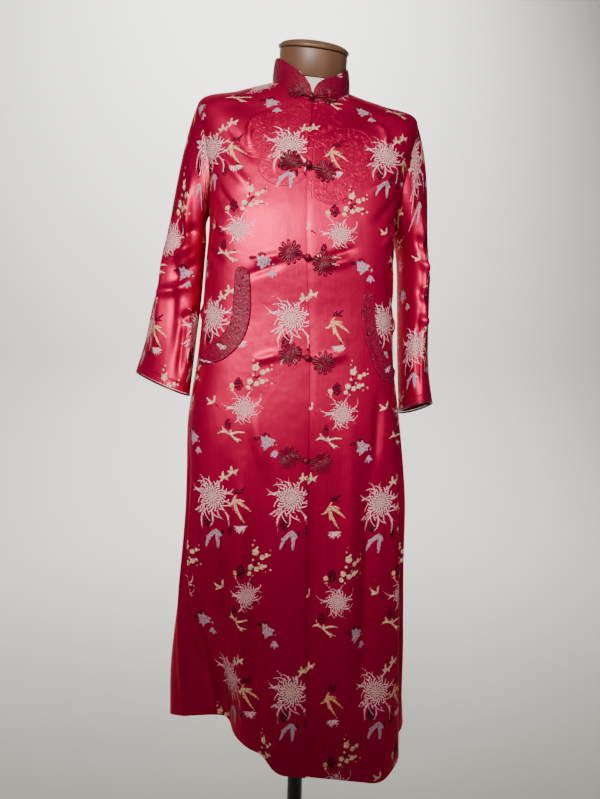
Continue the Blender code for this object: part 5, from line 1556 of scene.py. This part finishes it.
def photo_camera():
    """The camera where the photograph was taken from: in front, a little to the wearer's right."""
    focal = LENS / SENSOR * PICTURE_TALL
    place = np.array([-CAMERA_DISTANCE * math.sin(CAMERA_ROUND),
                      -CAMERA_DISTANCE * math.cos(CAMERA_ROUND), CAMERA_HEIGHT])
    yaw = CAMERA_ROUND - math.atan((AXIS_PIXEL - PICTURE_WIDE / 2) / focal)
    ahead = np.array([math.sin(yaw) * math.cos(CAMERA_DOWN), math.cos(yaw) * math.cos(CAMERA_DOWN),
                      -math.sin(CAMERA_DOWN)])
    right = np.array([math.cos(yaw), -math.sin(yaw), 0])
    up = np.cross(right, ahead)
    turned_right = right * math.cos(CAMERA_ROLL) + up * math.sin(CAMERA_ROLL)
    turned_up = -right * math.sin(CAMERA_ROLL) + up * math.cos(CAMERA_ROLL)
    camera = bpy.data.cameras.new("photo_camera")
    camera.lens, camera.sensor_width = LENS, SENSOR
    thing = bpy.data.objects.new("photo_camera", camera)
    columns = (turned_right, turned_up, -ahead, place)
    thing.matrix_world = Matrix([[c[i] for c in columns] for i in range(3)] + [[0, 0, 0, 1]])
    bpy.context.scene.collection.objects.link(thing)
    bpy.context.scene.camera = thing


def studio():
    """The floor, three soft lights, a dim even sky and the camera."""
    studio_floor()
    for row in LIGHTS:
        area_light(*row)
    world = bpy.data.worlds.new("studio_air")
    bpy.context.scene.world = world
    world.use_nodes = True
    world.node_tree.nodes["Background"].inputs["Color"].default_value = linear(SKY_TONE)
    world.node_tree.nodes["Background"].inputs["Strength"].default_value = SKY_STRENGTH
    photo_camera()


# The add-on

class LONGCOAT_OT_fronts(bpy.types.Operator):
    """Add the coat's two fronts"""
    bl_idname = "long_coat.fronts"
    bl_label = "Fronts"

    def execute(self, context):
        coat_fronts()
        return {"FINISHED"}


class LONGCOAT_OT_back(bpy.types.Operator):
    """Add the coat's back"""
    bl_idname = "long_coat.back"
    bl_label = "Back"

    def execute(self, context):
        coat_back()
        return {"FINISHED"}


class LONGCOAT_OT_sleeves(bpy.types.Operator):
    """Add the sleeves and the bindings of their cuffs"""
    bl_idname = "long_coat.sleeves"
    bl_label = "Sleeves"

    def execute(self, context):
        sleeves()
        return {"FINISHED"}


class LONGCOAT_OT_collar(bpy.types.Operator):
    """Add the quilted stand-up collar"""
    bl_idname = "long_coat.collar"
    bl_label = "Collar"

    def execute(self, context):
        collar()
        return {"FINISHED"}


class LONGCOAT_OT_pocket_bands(bpy.types.Operator):
    """Add the quilted bands of the pocket mouths"""
    bl_idname = "long_coat.pocket_bands"
    bl_label = "Pocket bands"

    def execute(self, context):
        pocket_bands()
        return {"FINISHED"}


class LONGCOAT_OT_frogs(bpy.types.Operator):
    """Add the five frogs and their knots"""
    bl_idname = "long_coat.frogs"
    bl_label = "Frogs"

    def execute(self, context):
        frogs()
        return {"FINISHED"}


class LONGCOAT_OT_form(bpy.types.Operator):
    """Add the dress form: torso, neck block and lid"""
    bl_idname = "long_coat.form"
    bl_label = "Dress form"

    def execute(self, context):
        dress_form()
        return {"FINISHED"}


class LONGCOAT_OT_stand(bpy.types.Operator):
    """Add the form's pole and base"""
    bl_idname = "long_coat.stand"
    bl_label = "Stand"

    def execute(self, context):
        stand()
        return {"FINISHED"}


class LONGCOAT_OT_studio(bpy.types.Operator):
    """Add the floor, the lights and the camera"""
    bl_idname = "long_coat.studio"
    bl_label = "Studio"

    def execute(self, context):
        studio()
        return {"FINISHED"}


OPERATORS = (LONGCOAT_OT_studio, LONGCOAT_OT_fronts, LONGCOAT_OT_back, LONGCOAT_OT_sleeves,
             LONGCOAT_OT_collar, LONGCOAT_OT_pocket_bands, LONGCOAT_OT_frogs, LONGCOAT_OT_form,
             LONGCOAT_OT_stand)


class LONGCOAT_PT_panel(bpy.types.Panel):
    """The coat's pieces, colours and sizes"""
    bl_idname = "LONGCOAT_PT_panel"
    bl_label = "Long coat"
    bl_space_type = "VIEW_3D"
    bl_region_type = "UI"
    bl_category = "Long coat"

    def draw(self, context):
        for operator in OPERATORS:
            self.layout.operator(operator.bl_idname)
        for group in settings():
            for key in group.bl_rna.properties.keys():
                if key not in ("rna_type", "name"):
                    self.layout.prop(group, key)


CLASSES = (LongCoatColours, LongCoatSizes, *OPERATORS, LONGCOAT_PT_panel)


def register():
    """Registers the classes and hangs the two groups of properties on the scene."""
    for item in CLASSES:
        bpy.utils.register_class(item)
    bpy.types.Scene.long_coat_colours = PointerProperty(type=LongCoatColours)
    bpy.types.Scene.long_coat_sizes = PointerProperty(type=LongCoatSizes)


def unregister():
    """Takes the properties off the scene and unregisters the classes."""
    del bpy.types.Scene.long_coat_colours
    del bpy.types.Scene.long_coat_sizes
    for item in reversed(CLASSES):
        bpy.utils.unregister_class(item)


def main():
    register()
    for operator in OPERATORS:
        group, name = operator.bl_idname.split(".")
        getattr(getattr(bpy.ops, group), name)()


if __name__ == "__main__":
    main()
